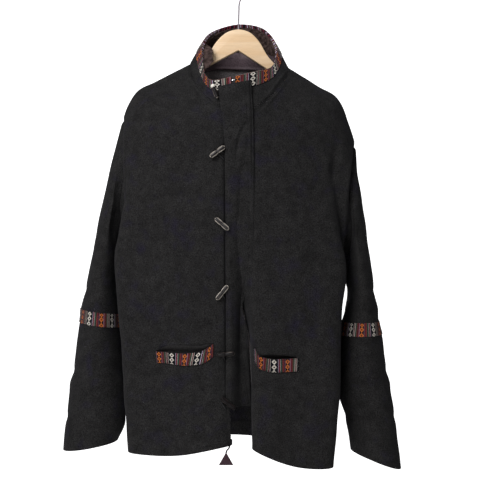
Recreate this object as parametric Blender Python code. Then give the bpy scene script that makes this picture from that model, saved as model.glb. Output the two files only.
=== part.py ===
"""Duffle coat on its wooden hanger: black wool, horn toggles, stand collar, woven bands.

The origin is the inner crown of the hook. +X is the viewer's right, the front faces -Y.
Tables are in millimetres and become metres when a mesh is made. Each panel is a grid of points:
rows run across the coat, from the shoulder seam down to the hem.
"""

import math

import bmesh
import bpy
import numpy as np
from mathutils import Vector
from mathutils.bvhtree import BVHTree

MM = 0.001

# Thicknesses and gaps, in millimetres.
WOOL = 3.0
FLEECE = 4.0
LINING = 1.0
BAND = 1.2
POCKET_CLOTH = 1.2
GAP = 0.3
SEAM_GAP = 0.6
LYING_GAP = 0.5  # between a panel and cloth that lies on it with other facets

# Hardware sizes, in millimetres.
TOGGLE_LENGTH = 34.0
LOOP_CORD = 2.2
WIRE = 3.2
HOOK_RADIUS = 17.0  # inside the crown
HANGER_THICKNESS = 12.0
HANGER_ROUNDING = 3.0
BORE_DEPTH = 15.0
BORE_LEFT = 1.0  # how much of the bore stays empty under the wire
ZIP_WIDTH = 9.0
ZIP_THICKNESS = 1.4
ZIP_SHOWS = 1.5  # how far the teeth stand out past the cloth's edge
SLIDER_ROUNDING = 1.0
SLIDER = (8.0, 4.4, 11.0)
TAG_WIDTH = 27.0
TAG_HEIGHT = 22.0
TAG_TOP = 2.0
TAG_ROUNDING = 0.6
TAG_THICKNESS = 2.6
PULL_CORD = 1.6

# Collar, from centre front round the viewer's left side, the back and the right side.
# Each row is a place: the seam to the body, then the top edge above it.
COLLAR_COLUMNS = ("base_x", "base_y", "base_z", "top_x", "top_y", "top_z")
COLLAR = [
    (-12, -103, -264, -13, -80, -201),
    (-41, -95, -253, -47, -70, -206),
    (-64, -74, -233, -63, -48, -191),
    (-85, -42, -200, -69, -32, -157),
    (-95, 2, -162, -69, -8, -123),
    (-72, 52, -139, -51, 48, -90),
    (-1, 85, -135, -1, 76, -70),
    (66, 56, -142, 46, 58, -81),
    (97, 2, -170, 70, 25, -112),
    (89, -38, -199, 74, -5, -143),
    (65, -72, -231, 63, -35, -175),
    (29, -97, -259, 32, -66, -189),
    (-5, -103, -264, -5, -80, -200),
]
SIDE_LEFT, NAPE, SIDE_RIGHT = 4, 6, 8  # places in the collar's table
COLLAR_BULGE = 5.0  # a quarter of this is how far the collar stands out half way up

# Fronts: a row for each level. "edge" is the front edge, or the neck seam in the first rows,
# "turn" the line of the flap's stitching, "ridge" where the front turns to the side, "seam" the
# armhole and then the side seam. "belly" fills the face forwards, "drop" lowers it, and "hollow"
# draws the side in behind the ridge.
FRONT_COLUMNS = (
    "edge_x", "edge_y", "edge_z", "turn_x", "turn_y", "ridge_x", "ridge_y", "ridge_z",
    "seam_x", "seam_y", "seam_z", "belly", "drop", "hollow",
)
FRONT_LEFT = [
    (-95, 2, -162, -124, 0, -194, 0, -215, -225, 0, -271, 0, 0, -4),
    (-85, -42, -200, -118, -34, -196, -22, -229, -225, -25, -294, 3, 0, -3),
    (-64, -74, -233, -98, -64, -195, -44, -250, -225, -45, -321, 6, 0, -3),
    (-41, -95, -253, -74, -86, -197, -60, -286, -224, -58, -354, 8, 0, -2),
    (-12, -103, -264, -44, -101, -202, -70, -336, -223, -64, -398, 8, 0, 0),
    (-12, -110, -340, -42, -110, -209, -77, -402, -223, -58, -445, 8, 0, 2),
    (-12, -114, -432, -42, -115, -223, -82, -491, -226, -36, -496, 9, 0, 5),
    (-13, -117, -515, -42, -118, -231, -84, -539, -228, 3, -531, 10, 0, 6),
    (-15, -119, -616, -42, -121, -224, -88, -627, -220, 2, -625, 10, 0, 2),
    (-16, -120, -707, -41, -122, -215, -88, -720, -212, 2, -718, 10, 0, -3),
    (-16, -118, -799, -36, -121, -209, -88, -813, -206, 2, -811, 10, 0, -3),
    (-12, -106, -886, -28, -118, -204, -87, -902, -200, 2, -902, 10, 9, -3),
]
FRONT_RIGHT = [
    (97, 2, -170, 125, 0, 192, 0, -229, 229, 0, -322, 0, 0, -4),
    (89, -38, -199, 118, -34, 188, -22, -240, 225, -24, -346, 3, 0, -3),
    (65, -72, -231, 96, -64, 178, -44, -262, 221, -44, -372, 6, 0, -3),
    (29, -97, -259, 62, -88, 166, -62, -300, 217, -58, -402, 8, 0, 0),
    (-5, -103, -264, 28, -103, 164, -72, -350, 213, -64, -440, 8, 0, 3),
    (-5, -110, -340, 27, -111, 174, -79, -412, 210, -58, -485, 8, 0, 4),
    (-5, -114, -432, 26.5, -116, 190, -83, -496, 208, -36, -536, 9, 0, 6),
    (-4, -116, -515, 26, -119, 203, -84, -556, 207, 3, -572, 10, 0, 6),
    (6, -100, -616, 25.5, -119, 196, -87, -630, 190, 2, -640, 10, 0, 0),
    (24, -73, -710, 26, -117, 190, -88, -716, 178, 2, -726, 10, 2, -3),
    (31, -62, -806, 26.5, -116, 187, -88, -808, 174, 2, -817, 10, 6, -3),
    (32, -60, -892, 27, -115, 176, -87, -931, 167, 2, -924, 10, 12, -3),
]
FACE_SHARE = 0.55  # how far from the turn to the ridge the face's guide point lies
FRONT_START = (1.0, 1.3, 0.15)  # the fronts' first slope below the shoulder, against an even one
UNDERARM = 7  # level where the armhole ends and the side seam begins
HOLE_LEAVES = (28.0, -2.0)  # how the armhole's seam leaves the shoulder: outwards in depth, and down
HOLE_ARRIVES = (-40.0, -4.0)  # the same where it reaches the underarm
NECK_LEVELS = 4  # the front edge follows the neck seam down to this level
ARM_MIDDLE = 3.0  # the armhole's back half mirrors its front half about this depth

# Back: a row for each level below the shoulder seam, from level 3 on.
BACK_COLUMNS = ("left_x", "right_x", "ridge_y", "middle_y", "middle_z")
BACK = [
    (-196, 184, 56, 98, -225),
    (-198, 180, 66, 99, -285),
    (-203, 184, 73, 97, -360),
    (-210, 190, 78, 95, -450),
    (-215, 194, 81, 94, -525),
    (-212, 189, 84, 93, -618),
    (-206, 183, 85, 93, -710),
    (-202, 179, 85, 92, -802),
    (-199, 172, 84, 91, -901),
]
BACK_FIRST = 3
NECK_AT, NECK_ENDS = 5, 9  # guide columns of the back where the neck starts and ends
BACK_START = 1.35  # the back's first slope below the shoulder, against an even one
BACK_SHOULDER_FALL = 0.05  # its share of the fall at the shoulders, and then round the nape
BACK_NAPE_FALL = (0.35, 0.6, 0.7, 0.6, 0.35)
BACK_REACH = (0.80, 0.60, 0.44, 0.22)  # the back's guide points between a ridge and its middle

# Sleeves: a row for each ring after the armhole. "out" is its highest or outer point, "in" its
# lowest or inner one, and "deep" is half its size from front to back.
# Each row is out_x, out_z, in_x, in_z, middle_y, deep.
SLEEVE_LEFT = [
    (-243, -330, -233, -548, 4, 71),
    (-258, -400, -235, -570, 5, 71),
    (-274, -475, -235, -596, 6, 70),
    (-289, -555, -232, -624, 7, 70),
    (-303, -638, -229, -648, 8, 70),
    (-308, -664, -228, -674, 8, 68),
    (-317, -715, -224, -728, 9, 63),
    (-327, -775, -221, -790, 10, 59),
    (-336, -845, -222, -858, 10, 55),
    (-344, -914, -238, -897, 10, 53),
]
SLEEVE_RIGHT = [
    (232, -376, 211, -588, 4, 71),
    (240, -436, 213, -606, 5, 71),
    (251, -510, 214, -624, 6, 70),
    (263, -588, 210, -646, 7, 70),
    (275, -662, 203, -664, 8, 69),
    (280, -688, 198, -690, 8, 67),
    (287, -740, 192, -742, 9, 62),
    (296, -796, 191, -794, 10, 58),
    (309, -872, 207, -846, 10, 55),
    (320, -951, 221, -916, 10, 54),
]
BAND_RING = 5  # the band lies between this ring and the next

# Flap: its free edge and its sewn edge at each row, outer side. "bow" is how far its middle stands
# forward, and "swing" is how far the sewn edge turns into the coat.
FLAP_COLUMNS = ("free_x", "free_y", "free_z", "sewn_x", "sewn_y", "sewn_z", "bow", "swing")
FLAP = [
    (-39, -86.2, -219, 25, -84.6, -206, 6.4, 0),
    (-35, -96.2, -242, 26, -93.4, -235, 5.2, 0),
    (-32, -104.2, -262, 27.5, -101.4, -257, 3.6, 0),
    (-28, -108.2, -285, 28.5, -107.4, -283, 1.6, 0),
    (-25, -112.7, -330, 29, -113.0, -328, 0.4, 0),
    (-24, -117.0, -400, 29, -118.1, -400, 0.3, 0),
    (-23, -120.2, -480, 28.5, -122.1, -480, 0.3, 0),
    (-22.5, -122.5, -560, 26, -123.6, -560, 0, 6),
    (-22, -123.6, -600, 20, -121.0, -600, 0, 12),
    (-22, -124.0, -640, 17.5, -113.5, -640, 0, 28),
    (-22, -124.5, -707, 20.5, -99, -708, 0, 46),
    (-22, -124.2, -760, 23.6, -91, -762, 0, 52),
    (-22, -122.2, -812, 25.6, -86, -815, 0, 55),
]

# Pockets: the band's upper edge, which is the mouth's lower lip, its lower edge, and how far the
# mouth opens above the lip.
MOUTH_COLUMNS = ("lip_x", "lip_z", "low_x", "low_z", "open")
MOUTH_LEFT = [
    (-151, -711, -149, -732, 0), (-131, -712, -130, -732.5, 12), (-100, -714, -102, -736, 15),
    (-72, -711, -78, -734.5, 11), (-58, -705, -62, -731, 8), (-45, -695.5, -45, -719, 0),
]
MOUTH_RIGHT = [
    (29, -700, 29.5, -726, 0), (38, -716.5, 38, -739, 0), (51, -722, 49, -745, 6),
    (66, -724, 66, -748, 8), (88, -724, 88, -748, 6), (112, -723.5, 111, -747.5, 0),
]
MOUTH_AHEAD = 15.0  # how far before its front a pocket's cutter starts
BAG_DEPTH = 14.0
BAG_ROUND = 0.6  # power of the bag's bulge: below 1 it is full up to its edges
BAG_HEIGHT = 125.0
BAG_ABOVE = 9.0  # how far the bag reaches above the mouth

# Toggles, top to bottom: the two ends of each, as seen from the front, and how far below its
# middle the loop comes out of the flap's edge.
# Each row is left_x, left_z, right_x, right_z, hang.
TOGGLES = [
    (-49, -213, -38, -244, 4),
    (-51, -353, -25, -334, 8),
    (-43, -465, -16, -488, 7),
    (-42, -618, -16, -586, 7),
    (-38, -716, -7, -713, 6),
    (-31, -794, -5, -815, 5),
]
# A toggle's radius along it, from its middle out, with its waist in the middle.
TOGGLE_PROFILE = [(0, 3.5), (1.5, 3.6), (3.0, 4.1), (7, 4.3), (12, 4.1), (15, 3.7), (16.6, 2.6), (17, 0)]
TOGGLE_SIDES = 8
TOGGLE_RESTS_AT = 13.0  # a toggle leans as the cloth does between these places on it
LOOP_SPREAD = 6.0  # half the distance between a loop's two ends
LOOP_CLEAR = 1.4  # a loop's ends beside the flap's edge
LOOP_REACH = 6.0  # a loop reaches at least this far from that edge
LOOP_BENDS = ((1.5, 2.2), (-1.4, 0.9), (-0.6, -2.0))  # round the toggle's middle

# Hanger outline, half by half, from the top of the dome along the arm to its tip and back, in x, z.
HANGER_RIGHT = [
    (0, -95.5), (11, -97), (23, -102), (36, -114), (44, -125), (54, -143), (68, -160), (96, -179.5),
    (136, -201.5), (163, -216.5), (186, -232.5), (194, -242), (194, -254), (188, -258), (164, -247),
    (134, -226), (94, -199), (51, -170), (0, -136.5),
]
HANGER_LEFT = [
    (-27, -150.5), (-51, -163), (-94, -189), (-128, -208), (-160, -227), (-184, -243), (-192, -246),
    (-196, -241), (-192, -228), (-181, -217), (-157, -201.5), (-124, -186), (-94, -175),
    (-74, -167), (-57, -146), (-50, -130), (-37, -113), (-23, -101.5), (-11, -97),
]

# Hook: its neck above the dome's top, and then its angles round the crown in degrees.
HOOK_NECK = [(0, 10), (0.6, 35), (1.6, 51), (3.4, 57.5), (6.9, 61.3)]
HOOK_TURNS = range(-50, 196, 15)

# Places along the tables where the grids have their rows and columns.
LEVELS_AT = (0, 0.4, 1, 1.6, 2.3, 3, 3.6, 4, 4.6, 5.3, 6, 6.5, 7, 7.6, 8.3, 9, 9.6, 10.3, 11)
LEFT_AT = (0, 0.5, 1, 1.4, 1.8, 2.2, 2.6, 3, 3.4, 4, 4.5, 5)
RIGHT_AT = (0, 0.5, 0.85, 1, 1.2, 1.6, 2, 2.5, 3, 3.4, 4, 4.5, 5)
NAPE_AT = (5, 5.5, 6, 6.5, 7, 7.5, 8, 8.5, 9)
COLLAR_RISE_AT = (0, 0.3, 0.6, 0.8, 1)
FLEECE_RISE_AT = (0.5, 1, 2, 3, 3.85)  # rows of the collar's grid that the fleece passes through
LINING_ROWS = (1, 18)  # of the back's grid
LINING_COLUMNS = (6, 25)
BAND_RISE = 2  # the collar's band starts at this row of its grid
FLAP_AT = (0, 0.2, 0.4, 0.6, 0.8, 1)
RINGS_AT = (0, 0.5, 1, 1.6, 2.3, 3, 3.6, 4.3, 5, 6, 6.8, 7.6, 8.3, 9, 9.5, 10)

FAR_IN_FRONT = -400.0
BAND_CLEAR = 0.8  # a pocket's band over its front
BAG_CLEAR = 0.9  # a pocket's bag behind its front
SLIDER_AT = (-14.5, -99.9, -880)
ZIP_ENDS_ABOVE = 14.0  # the tape's last stretch, where the slider sits
PULL_ROUTE = [(-15.5, -100, -886.2), (-17, -104, -890.5), (-20.5, -113, -893), (-22, -118, -896.4)]

COLOURS = {
    "wool": (0.012, 0.012, 0.013, 0.95, 0.0),
    "fleece": (0.035, 0.022, 0.02, 1.0, 0.0),
    "lining": (0.03, 0.028, 0.033, 0.6, 0.0),
    "woven band": (0.18, 0.06, 0.04, 0.85, 0.0),
    "horn": (0.035, 0.035, 0.035, 0.3, 0.0),
    "cord": (0.012, 0.012, 0.012, 0.8, 0.0),
    "zip metal": (0.55, 0.55, 0.56, 0.3, 1.0),
    "beech": (0.74, 0.53, 0.31, 0.45, 0.0),
    "steel wire": (0.7, 0.7, 0.72, 0.25, 1.0),
    "tag cloth": (0.05, 0.025, 0.03, 0.9, 0.0),
}


def clear_scene():
    for item in list(bpy.data.objects):
        bpy.data.objects.remove(item, do_unlink=True)


def material(name):
    """A plain Principled material, made once for each name."""
    found = bpy.data.materials.get(name)
    if found:
        return found
    made = bpy.data.materials.new(name)
    made.use_nodes = True
    red, green, blue, roughness, metallic = COLOURS[name]
    shader = made.node_tree.nodes["Principled BSDF"]
    shader.inputs["Base Color"].default_value = (red, green, blue, 1.0)
    shader.inputs["Roughness"].default_value = roughness
    shader.inputs["Metallic"].default_value = metallic
    made.diffuse_color = (red, green, blue, 1.0)
    return made


def add_object(name, mesh, finish):
    """Links a bmesh in millimetres as an object in metres."""
    bmesh.ops.scale(mesh, vec=(MM, MM, MM), verts=mesh.verts)
    data = bpy.data.meshes.new(name)
    mesh.to_mesh(data)
    mesh.free()
    data.shade_smooth()
    data.set_sharp_from_angle(angle=math.radians(50))
    item = bpy.data.objects.new(name, data)
    item.data.materials.append(material(finish))
    bpy.context.scene.collection.objects.link(item)
    return item


def table(rows, columns):
    """A table of rows as one array for each named column."""
    return dict(zip(columns, np.array(rows, float).T))


def places(columns, *names):
    """The named columns side by side, as rows of points."""
    return np.stack([columns[name] for name in names], axis=-1)


def spline(points, knots, at, start=None, end=None):
    """Points on a smooth curve through `points`, which stand at `knots`. `at` counts points."""
    points = np.asarray(points, float)
    knots = np.asarray(knots, float)
    at = np.asarray(at, float)
    steps = np.diff(knots)
    shape = (-1,) + (1,) * (points.ndim - 1)
    slopes = np.diff(points, axis=0) / steps.reshape(shape)
    tangents = np.empty_like(points)
    tangents[0], tangents[-1] = slopes[0], slopes[-1]
    if len(points) > 2:
        before, after = steps[:-1].reshape(shape), steps[1:].reshape(shape)
        tangents[1:-1] = (slopes[:-1] * after + slopes[1:] * before) / (before + after)
    if start is not None:
        tangents[0] = start
    if end is not None:
        tangents[-1] = end
    index = np.clip(np.floor(at).astype(int), 0, len(points) - 2)
    t = (at - index).reshape(shape)
    length = steps[index].reshape(shape)
    a, b = points[index], points[index + 1]
    ta, tb = tangents[index] * length, tangents[index + 1] * length
    return (
        (2 * t**3 - 3 * t**2 + 1) * a
        + (t**3 - 2 * t**2 + t) * ta
        + (3 * t**2 - 2 * t**3) * b
        + (t**3 - t**2) * tb
    )


def lengths_along(points):
    """Distance of each point along the line through them all, from the first."""
    steps = np.linalg.norm(np.diff(points, axis=0), axis=1)
    return np.concatenate([[0.0], np.cumsum(np.maximum(steps, 1e-3))])


def curve(points, at):
    """Points on a smooth curve through `points`, with knots at their distances."""
    return spline(points, lengths_along(np.asarray(points, float)), at)


def evenly(points, at, start=None, end=None):
    """The same, with knots one apart, so that neighbouring curves keep in step."""
    return spline(points, np.arange(len(points)), at, start, end)


def neck_seam(at):
    """Points of the seam between collar and body, by place in the collar's table."""
    rows = table(COLLAR, COLLAR_COLUMNS)
    return evenly(places(rows, "base_x", "base_y", "base_z"), at)


def side_line(rows, at, back=False):
    """Points of the armhole seam from the shoulder to the underarm, then of the side seam."""
    columns = table(rows, FRONT_COLUMNS)
    points = places(columns, "seam_x", "seam_y", "seam_z")
    hole = points[: UNDERARM + 1].copy()
    if back:
        hole[1:UNDERARM, 1] = 2 * ARM_MIDDLE - hole[1:UNDERARM, 1]
    way = 1 if back else -1
    leaves = np.array([0, HOLE_LEAVES[0] * way, HOLE_LEAVES[1]])
    arrives = np.array([0, HOLE_ARRIVES[0] * way, HOLE_ARRIVES[1]])
    above = evenly(hole, np.minimum(at, UNDERARM), leaves, arrives)
    below = evenly(points[UNDERARM:], np.maximum(at - UNDERARM, 0))
    return np.where((at <= UNDERARM)[:, None], above, below)


def front_grid(rows, columns_at, side):
    """Outer points of one front, level by level, from the front edge to the side."""
    c = table(rows, FRONT_COLUMNS)
    edge = places(c, "edge_x", "edge_y", "edge_z")
    ridge = places(c, "ridge_x", "ridge_y", "ridge_z")
    seam = places(c, "seam_x", "seam_y", "seam_z")
    share = (c["turn_x"] - c["edge_x"]) / (c["ridge_x"] - c["edge_x"])
    turn_z = edge[:, 2] + (ridge[:, 2] - edge[:, 2]) * np.clip(share, 0, 1)
    turn = np.stack([c["turn_x"], c["turn_y"], turn_z], axis=-1)
    face = turn * (1 - FACE_SHARE) + ridge * FACE_SHARE
    face[:, 1] -= c["belly"]
    face[:, 2] -= c["drop"]
    beside = (ridge + seam) / 2
    beside[:, 0] -= side * c["hollow"]
    levels = np.stack([edge, turn, face, ridge, beside, seam], axis=1)
    start = (levels[1] - levels[0]) * np.array(FRONT_START)
    wide = spline(levels, np.arange(len(levels)), LEVELS_AT, start)
    grid = np.array([curve(row, columns_at) for row in wide])
    at = np.array(LEVELS_AT)
    neck = at <= NECK_LEVELS
    place = SIDE_LEFT - at[neck] if side < 0 else SIDE_RIGHT + at[neck]
    grid[neck, 0] = neck_seam(place)
    grid[:, -1] = side_line(rows, at)
    return grid


def back_row(seams, ridges, hollows, middle):
    """Fifteen guide points of the back at one level, from side to side."""
    beside = [
        (seams[0] + ridges[0]) / 2 + np.array([hollows[0], 0, 0]),
        (seams[1] + ridges[1]) / 2 - np.array([hollows[1], 0, 0]),
    ]
    points = [seams[0], beside[0], ridges[0]]
    for ridge, order in ((ridges[0], BACK_REACH), (ridges[1], BACK_REACH[::-1])):
        for reach in order:
            share = np.array([reach, reach**3, reach**1.5])
            points.append(middle + (ridge - middle) * share)
        if ridge is ridges[0]:
            points.append(middle)
    points += [ridges[1], beside[1], seams[1]]
    return np.array(points)


def shoulder_guides(rows, side):
    """Guide points of one shoulder seam, from the neck to the tip, as in front_grid."""
    c = dict(zip(FRONT_COLUMNS, rows[0]))
    edge = np.array([c["edge_x"], c["edge_y"], c["edge_z"]], float)
    ridge = np.array([c["ridge_x"], c["ridge_y"], c["ridge_z"]], float)
    seam = np.array([c["seam_x"], c["seam_y"], c["seam_z"]], float)
    share = (c["turn_x"] - c["edge_x"]) / (c["ridge_x"] - c["edge_x"])
    turn = np.array([c["turn_x"], c["turn_y"], edge[2] + (ridge[2] - edge[2]) * share])
    face = turn * (1 - FACE_SHARE) + ridge * FACE_SHARE
    beside = (ridge + seam) / 2
    beside[0] -= side * c["hollow"]
    return np.array([edge, turn, face, ridge, beside, seam])


def back_grid():
    """Outer points of the back, level by level, from the left side to the right one."""
    left_at = NECK_AT - np.array(LEFT_AT[::-1])
    right_at = NECK_ENDS + np.array(RIGHT_AT)
    columns_at = np.concatenate([left_at[:-1], NAPE_AT, right_at[1:]])
    left, right = (table(rows, FRONT_COLUMNS) for rows in (FRONT_LEFT, FRONT_RIGHT))
    b = table(BACK, BACK_COLUMNS)
    knots = np.array([0] + list(range(BACK_FIRST, len(FRONT_LEFT))), float)
    levels = []
    for i, level in enumerate(range(BACK_FIRST, len(FRONT_LEFT))):
        seams = [side_line(rows, np.array([float(level)]), True)[0] for rows in (FRONT_LEFT, FRONT_RIGHT)]
        ridges = [
            np.array([b["left_x"][i], b["ridge_y"][i], left["ridge_z"][level]]),
            np.array([b["right_x"][i], b["ridge_y"][i], right["ridge_z"][level]]),
        ]
        middle = np.array([-1.0, b["middle_y"][i], b["middle_z"][i]])
        hollows = (left["hollow"][level], right["hollow"][level])
        levels.append(back_row(seams, ridges, hollows, middle))
    top_left = shoulder_guides(FRONT_LEFT, -1)[::-1]
    top_right = shoulder_guides(FRONT_RIGHT, 1)
    nape = neck_seam(np.array([SIDE_LEFT + 1, NAPE, NAPE + 1], float))
    top = np.concatenate([top_left, nape, top_right])
    fall = np.full(len(top), BACK_SHOULDER_FALL)
    fall[NECK_AT : NECK_ENDS + 1] = BACK_NAPE_FALL
    start = (levels[0] - top) / BACK_FIRST * BACK_START
    start[:, 2] *= fall
    wide = spline(np.array([top] + levels), knots, np.interp(LEVELS_AT, knots, np.arange(len(knots))), start)
    grid = np.array([curve(row, columns_at) for row in wide])
    at = np.array(LEVELS_AT)
    grid[:, 0] = side_line(FRONT_LEFT, at, True)
    grid[:, -1] = side_line(FRONT_RIGHT, at, True)
    for column, place in enumerate(columns_at):
        if place <= NECK_AT:
            grid[0, column] = curve(shoulder_guides(FRONT_LEFT, -1), np.array([NECK_AT - place]))[0]
        elif place >= NECK_ENDS:
            grid[0, column] = curve(shoulder_guides(FRONT_RIGHT, 1), np.array([place - NECK_ENDS]))[0]
        else:
            grid[0, column] = neck_seam(np.array([place - NECK_AT + SIDE_LEFT]))[0]
    return grid


def sleeve_grid(front_rows, rings):
    """Outer points of one sleeve: rings from the armhole to the cuff, each a closed loop."""
    at = np.array([place for place in LEVELS_AT if place <= UNDERARM])
    ahead = side_line(front_rows, at)
    behind = side_line(front_rows, at, True)[1:-1][::-1]
    first = np.concatenate([ahead, behind])
    count = len(first)
    loops = [first]
    for out_x, out_z, in_x, in_z, middle_y, deep in rings:
        turn = np.arange(count) / count * 2 * math.pi
        across = (1 + np.cos(turn)) / 2
        x = in_x + (out_x - in_x) * across
        z = in_z + (out_z - in_z) * across
        y = middle_y - deep * np.sin(turn)
        loops.append(np.stack([x, y, z], axis=-1))
    loops = np.array(loops)
    grid = spline(loops, np.arange(len(loops)), RINGS_AT)
    grid[0] = first
    return grid


def collar_grid():
    """Outer points of the collar, from its seam up to its top edge, round from centre front."""
    c = table(COLLAR, COLLAR_COLUMNS)
    neck = [place for place in LEVELS_AT if place <= NECK_LEVELS]
    at = np.concatenate([
        SIDE_LEFT - np.array(neck[::-1]),
        np.array(NAPE_AT[1:-1]) - 1,
        SIDE_RIGHT + np.array(neck),
    ])
    base = evenly(places(c, "base_x", "base_y", "base_z"), at)
    top = evenly(places(c, "top_x", "top_y", "top_z"), at)
    centre = (base.mean(axis=0) + top.mean(axis=0)) / 2
    rows = []
    for rise in COLLAR_RISE_AT:
        row = base + (top - base) * rise
        outward = (row - centre) * np.array([1, 1, 0])
        outward /= np.linalg.norm(outward, axis=1)[:, None]
        rows.append(row + outward * COLLAR_BULGE * rise * (1 - rise))
    return np.array(rows)


def flap_grid():
    """Outer points of the flap, from its top down, from its free edge to its sewn one."""
    c = table(FLAP, FLAP_COLUMNS)
    at = np.linspace(0, len(FLAP) - 1, 2 * len(FLAP) - 1)
    free = evenly(places(c, "free_x", "free_y", "free_z"), at)
    sewn = evenly(places(c, "sewn_x", "sewn_y", "sewn_z"), at)
    bow, swing = evenly(places(c, "bow", "swing"), at).T
    rows = []
    for a, b, forward, turn in zip(free, sewn, bow, swing):
        wide = b[0] - a[0]
        lean = (b[1] - a[1]) * (turn == 0)
        leave = np.array([wide, lean - 4 * forward, b[2] - a[2]])
        arrive = np.array([wide - turn, lean + 4 * forward + turn, b[2] - a[2]])
        rows.append(spline(np.array([a, b]), np.arange(2), FLAP_AT, leave, arrive))
    return np.array(rows)


def normals(grid, around, outward):
    """Unit normals of a grid, turned to the side of `outward`, a point outside its middle."""
    down = np.gradient(grid, axis=0)
    if around:
        across = (np.roll(grid, -1, axis=1) - np.roll(grid, 1, axis=1)) / 2
    else:
        across = np.gradient(grid, axis=1)
    found = np.cross(down, across)
    found /= np.maximum(np.linalg.norm(found, axis=2), 1e-9)[:, :, None]
    middle = (grid.shape[0] // 2, grid.shape[1] // 2)
    if np.dot(found[middle], np.array(outward, float) - grid[middle]) < 0:
        found = -found
    return found


def edge_places(panel):
    """Row and column of each point on a panel's border, with the steps that lead inwards."""
    rows, columns = panel["grid"].shape[:2]
    found = {}
    for row, step in ((0, (1, 0)), (rows - 1, (-1, 0))):
        for column in range(columns):
            found.setdefault((row, column), []).append(step)
    if not panel["around"]:
        for column, step in ((0, (0, 1)), (columns - 1, (0, -1))):
            for row in range(rows):
                found.setdefault((row, column), []).append(step)
    return found


def sew(panels):
    """Gives points that panels share one normal, and parts the panels there by the seam gap."""
    shared = {}
    for name, panel in panels.items():
        for place in edge_places(panel):
            key = tuple(np.round(panel["grid"][place], 2))
            shared.setdefault(key, []).append((name, place))
    moves = []
    for members in shared.values():
        if len(members) < 2:
            continue
        common = sum(panels[name]["normals"][place] for name, place in members)
        common = common / np.linalg.norm(common)
        for name, place in members:
            panels[name]["normals"][place] = common
            moves.append((name, place))
    for panel in panels.values():
        panel["shift"] = np.zeros_like(panel["grid"])
    for name, place in moves:
        panel = panels[name]
        for step in edge_places(panel)[place]:
            inner = (place[0] + step[0], place[1] + step[1])
            if step[0] and not panel["around"] and place[1] in (0, panel["grid"].shape[1] - 1):
                if not on_seam_row(panels, shared, name, place):
                    continue
            if step[1] and place[0] in (0, panel["grid"].shape[0] - 1):
                if not on_seam_column(panels, shared, name, place):
                    continue
            panel["shift"][place] += away_from_border(panel, place, inner) * SEAM_GAP / 2


def away_from_border(panel, place, inner):
    """Unit vector from a border point into its panel, square to the border."""
    grid = panel["grid"]
    rows, columns = grid.shape[:2]
    if inner[0] != place[0]:
        beside = [place[1] - 1, place[1] + 1]
        if panel["around"]:
            beside = [column % columns for column in beside]
        ends = [grid[place[0], min(max(column, 0), columns - 1)] for column in beside]
    else:
        ends = [grid[min(max(row, 0), rows - 1), place[1]] for row in (place[0] - 1, place[0] + 1)]
    along = ends[1] - ends[0]
    along /= np.linalg.norm(along)
    toward = grid[inner] - grid[place]
    toward -= along * np.dot(toward, along)
    return toward / np.linalg.norm(toward)


def is_shared(panels, shared, name, place):
    key = tuple(np.round(panels[name]["grid"][place], 2))
    return len(shared.get(key, ())) > 1


def on_seam_row(panels, shared, name, place):
    """Whether the border row through a corner is sewn, next to that corner."""
    beside = 1 if place[1] == 0 else -1
    return is_shared(panels, shared, name, (place[0], place[1] + beside))


def on_seam_column(panels, shared, name, place):
    """Whether the border column through a corner is sewn, next to that corner."""
    beside = 1 if place[0] == 0 else -1
    return is_shared(panels, shared, name, (place[0] + beside, place[1]))


def wall(name, outer, inner, around, finish):
    """A closed wall between two grids of points. Its rim is split the same way in panels that meet."""
    rows, columns = outer.shape[:2]
    mesh = bmesh.new()
    place = mesh.verts.layers.int.new("place")
    wide = columns + 1 if around else columns
    made = bmesh.ops.create_grid(mesh, x_segments=wide - 1, y_segments=rows - 1, size=1.0)
    mesh.verts.ensure_lookup_table()
    for number, vertex in enumerate(made["verts"]):
        row, column = divmod(number, wide)
        column %= columns
        vertex[place] = row * columns + column
        vertex.co = Vector(outer[row, column])
    if around:
        bmesh.ops.remove_doubles(mesh, verts=mesh.verts, dist=1e-4)
    old = set(mesh.verts)
    bmesh.ops.extrude_face_region(mesh, geom=mesh.faces[:], use_keep_orig=True)
    for vertex in mesh.verts:
        if vertex not in old:
            row, column = divmod(vertex[place], columns)
            vertex.co = Vector(inner[row, column])
    rim = [face for face in mesh.faces if 0 < len(old.intersection(face.verts)) < len(face.verts)]
    bmesh.ops.triangulate(mesh, faces=rim, quad_method="SHORT_EDGE")
    bmesh.ops.recalc_face_normals(mesh, faces=mesh.faces)
    if mesh.calc_volume(signed=True) < 0:
        bmesh.ops.reverse_faces(mesh, faces=mesh.faces)
    return add_object(name, mesh, finish)


def offset(panel, rows, columns, outside):
    """Points of part of a panel, moved out (or in, below zero) by `outside`."""
    where = np.ix_(rows, columns)
    return (panel["grid"] + panel["shift"])[where] + panel["normals"][where] * outside


def make_panels():
    """The panels' grids, normals and seam gaps."""
    front_left = front_grid(FRONT_LEFT, LEFT_AT, -1)
    front_right = front_grid(FRONT_RIGHT, RIGHT_AT, 1)
    panels = {
        "front_left": {"grid": front_left, "around": False, "outward": (-120, -400, -500)},
        "front_right": {"grid": front_right, "around": False, "outward": (120, -400, -500)},
        "back": {"grid": back_grid(), "around": False, "outward": (0, 400, -500)},
        "sleeve_left": {
            "grid": sleeve_grid(FRONT_LEFT, SLEEVE_LEFT), "around": True, "outward": None,
        },
        "sleeve_right": {
            "grid": sleeve_grid(FRONT_RIGHT, SLEEVE_RIGHT), "around": True, "outward": None,
        },
        "collar": {"grid": collar_grid(), "around": False, "outward": (0, 400, -80)},
    }
    for panel in panels.values():
        grid = panel["grid"]
        outward = panel["outward"]
        if outward is None:
            middle = grid[grid.shape[0] // 2]
            centre = middle.mean(axis=0)
            point = middle[grid.shape[1] // 2]
            outward = point + (point - centre)
        panel["normals"] = normals(grid, panel["around"], outward)
    sew(panels)
    return panels


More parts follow.
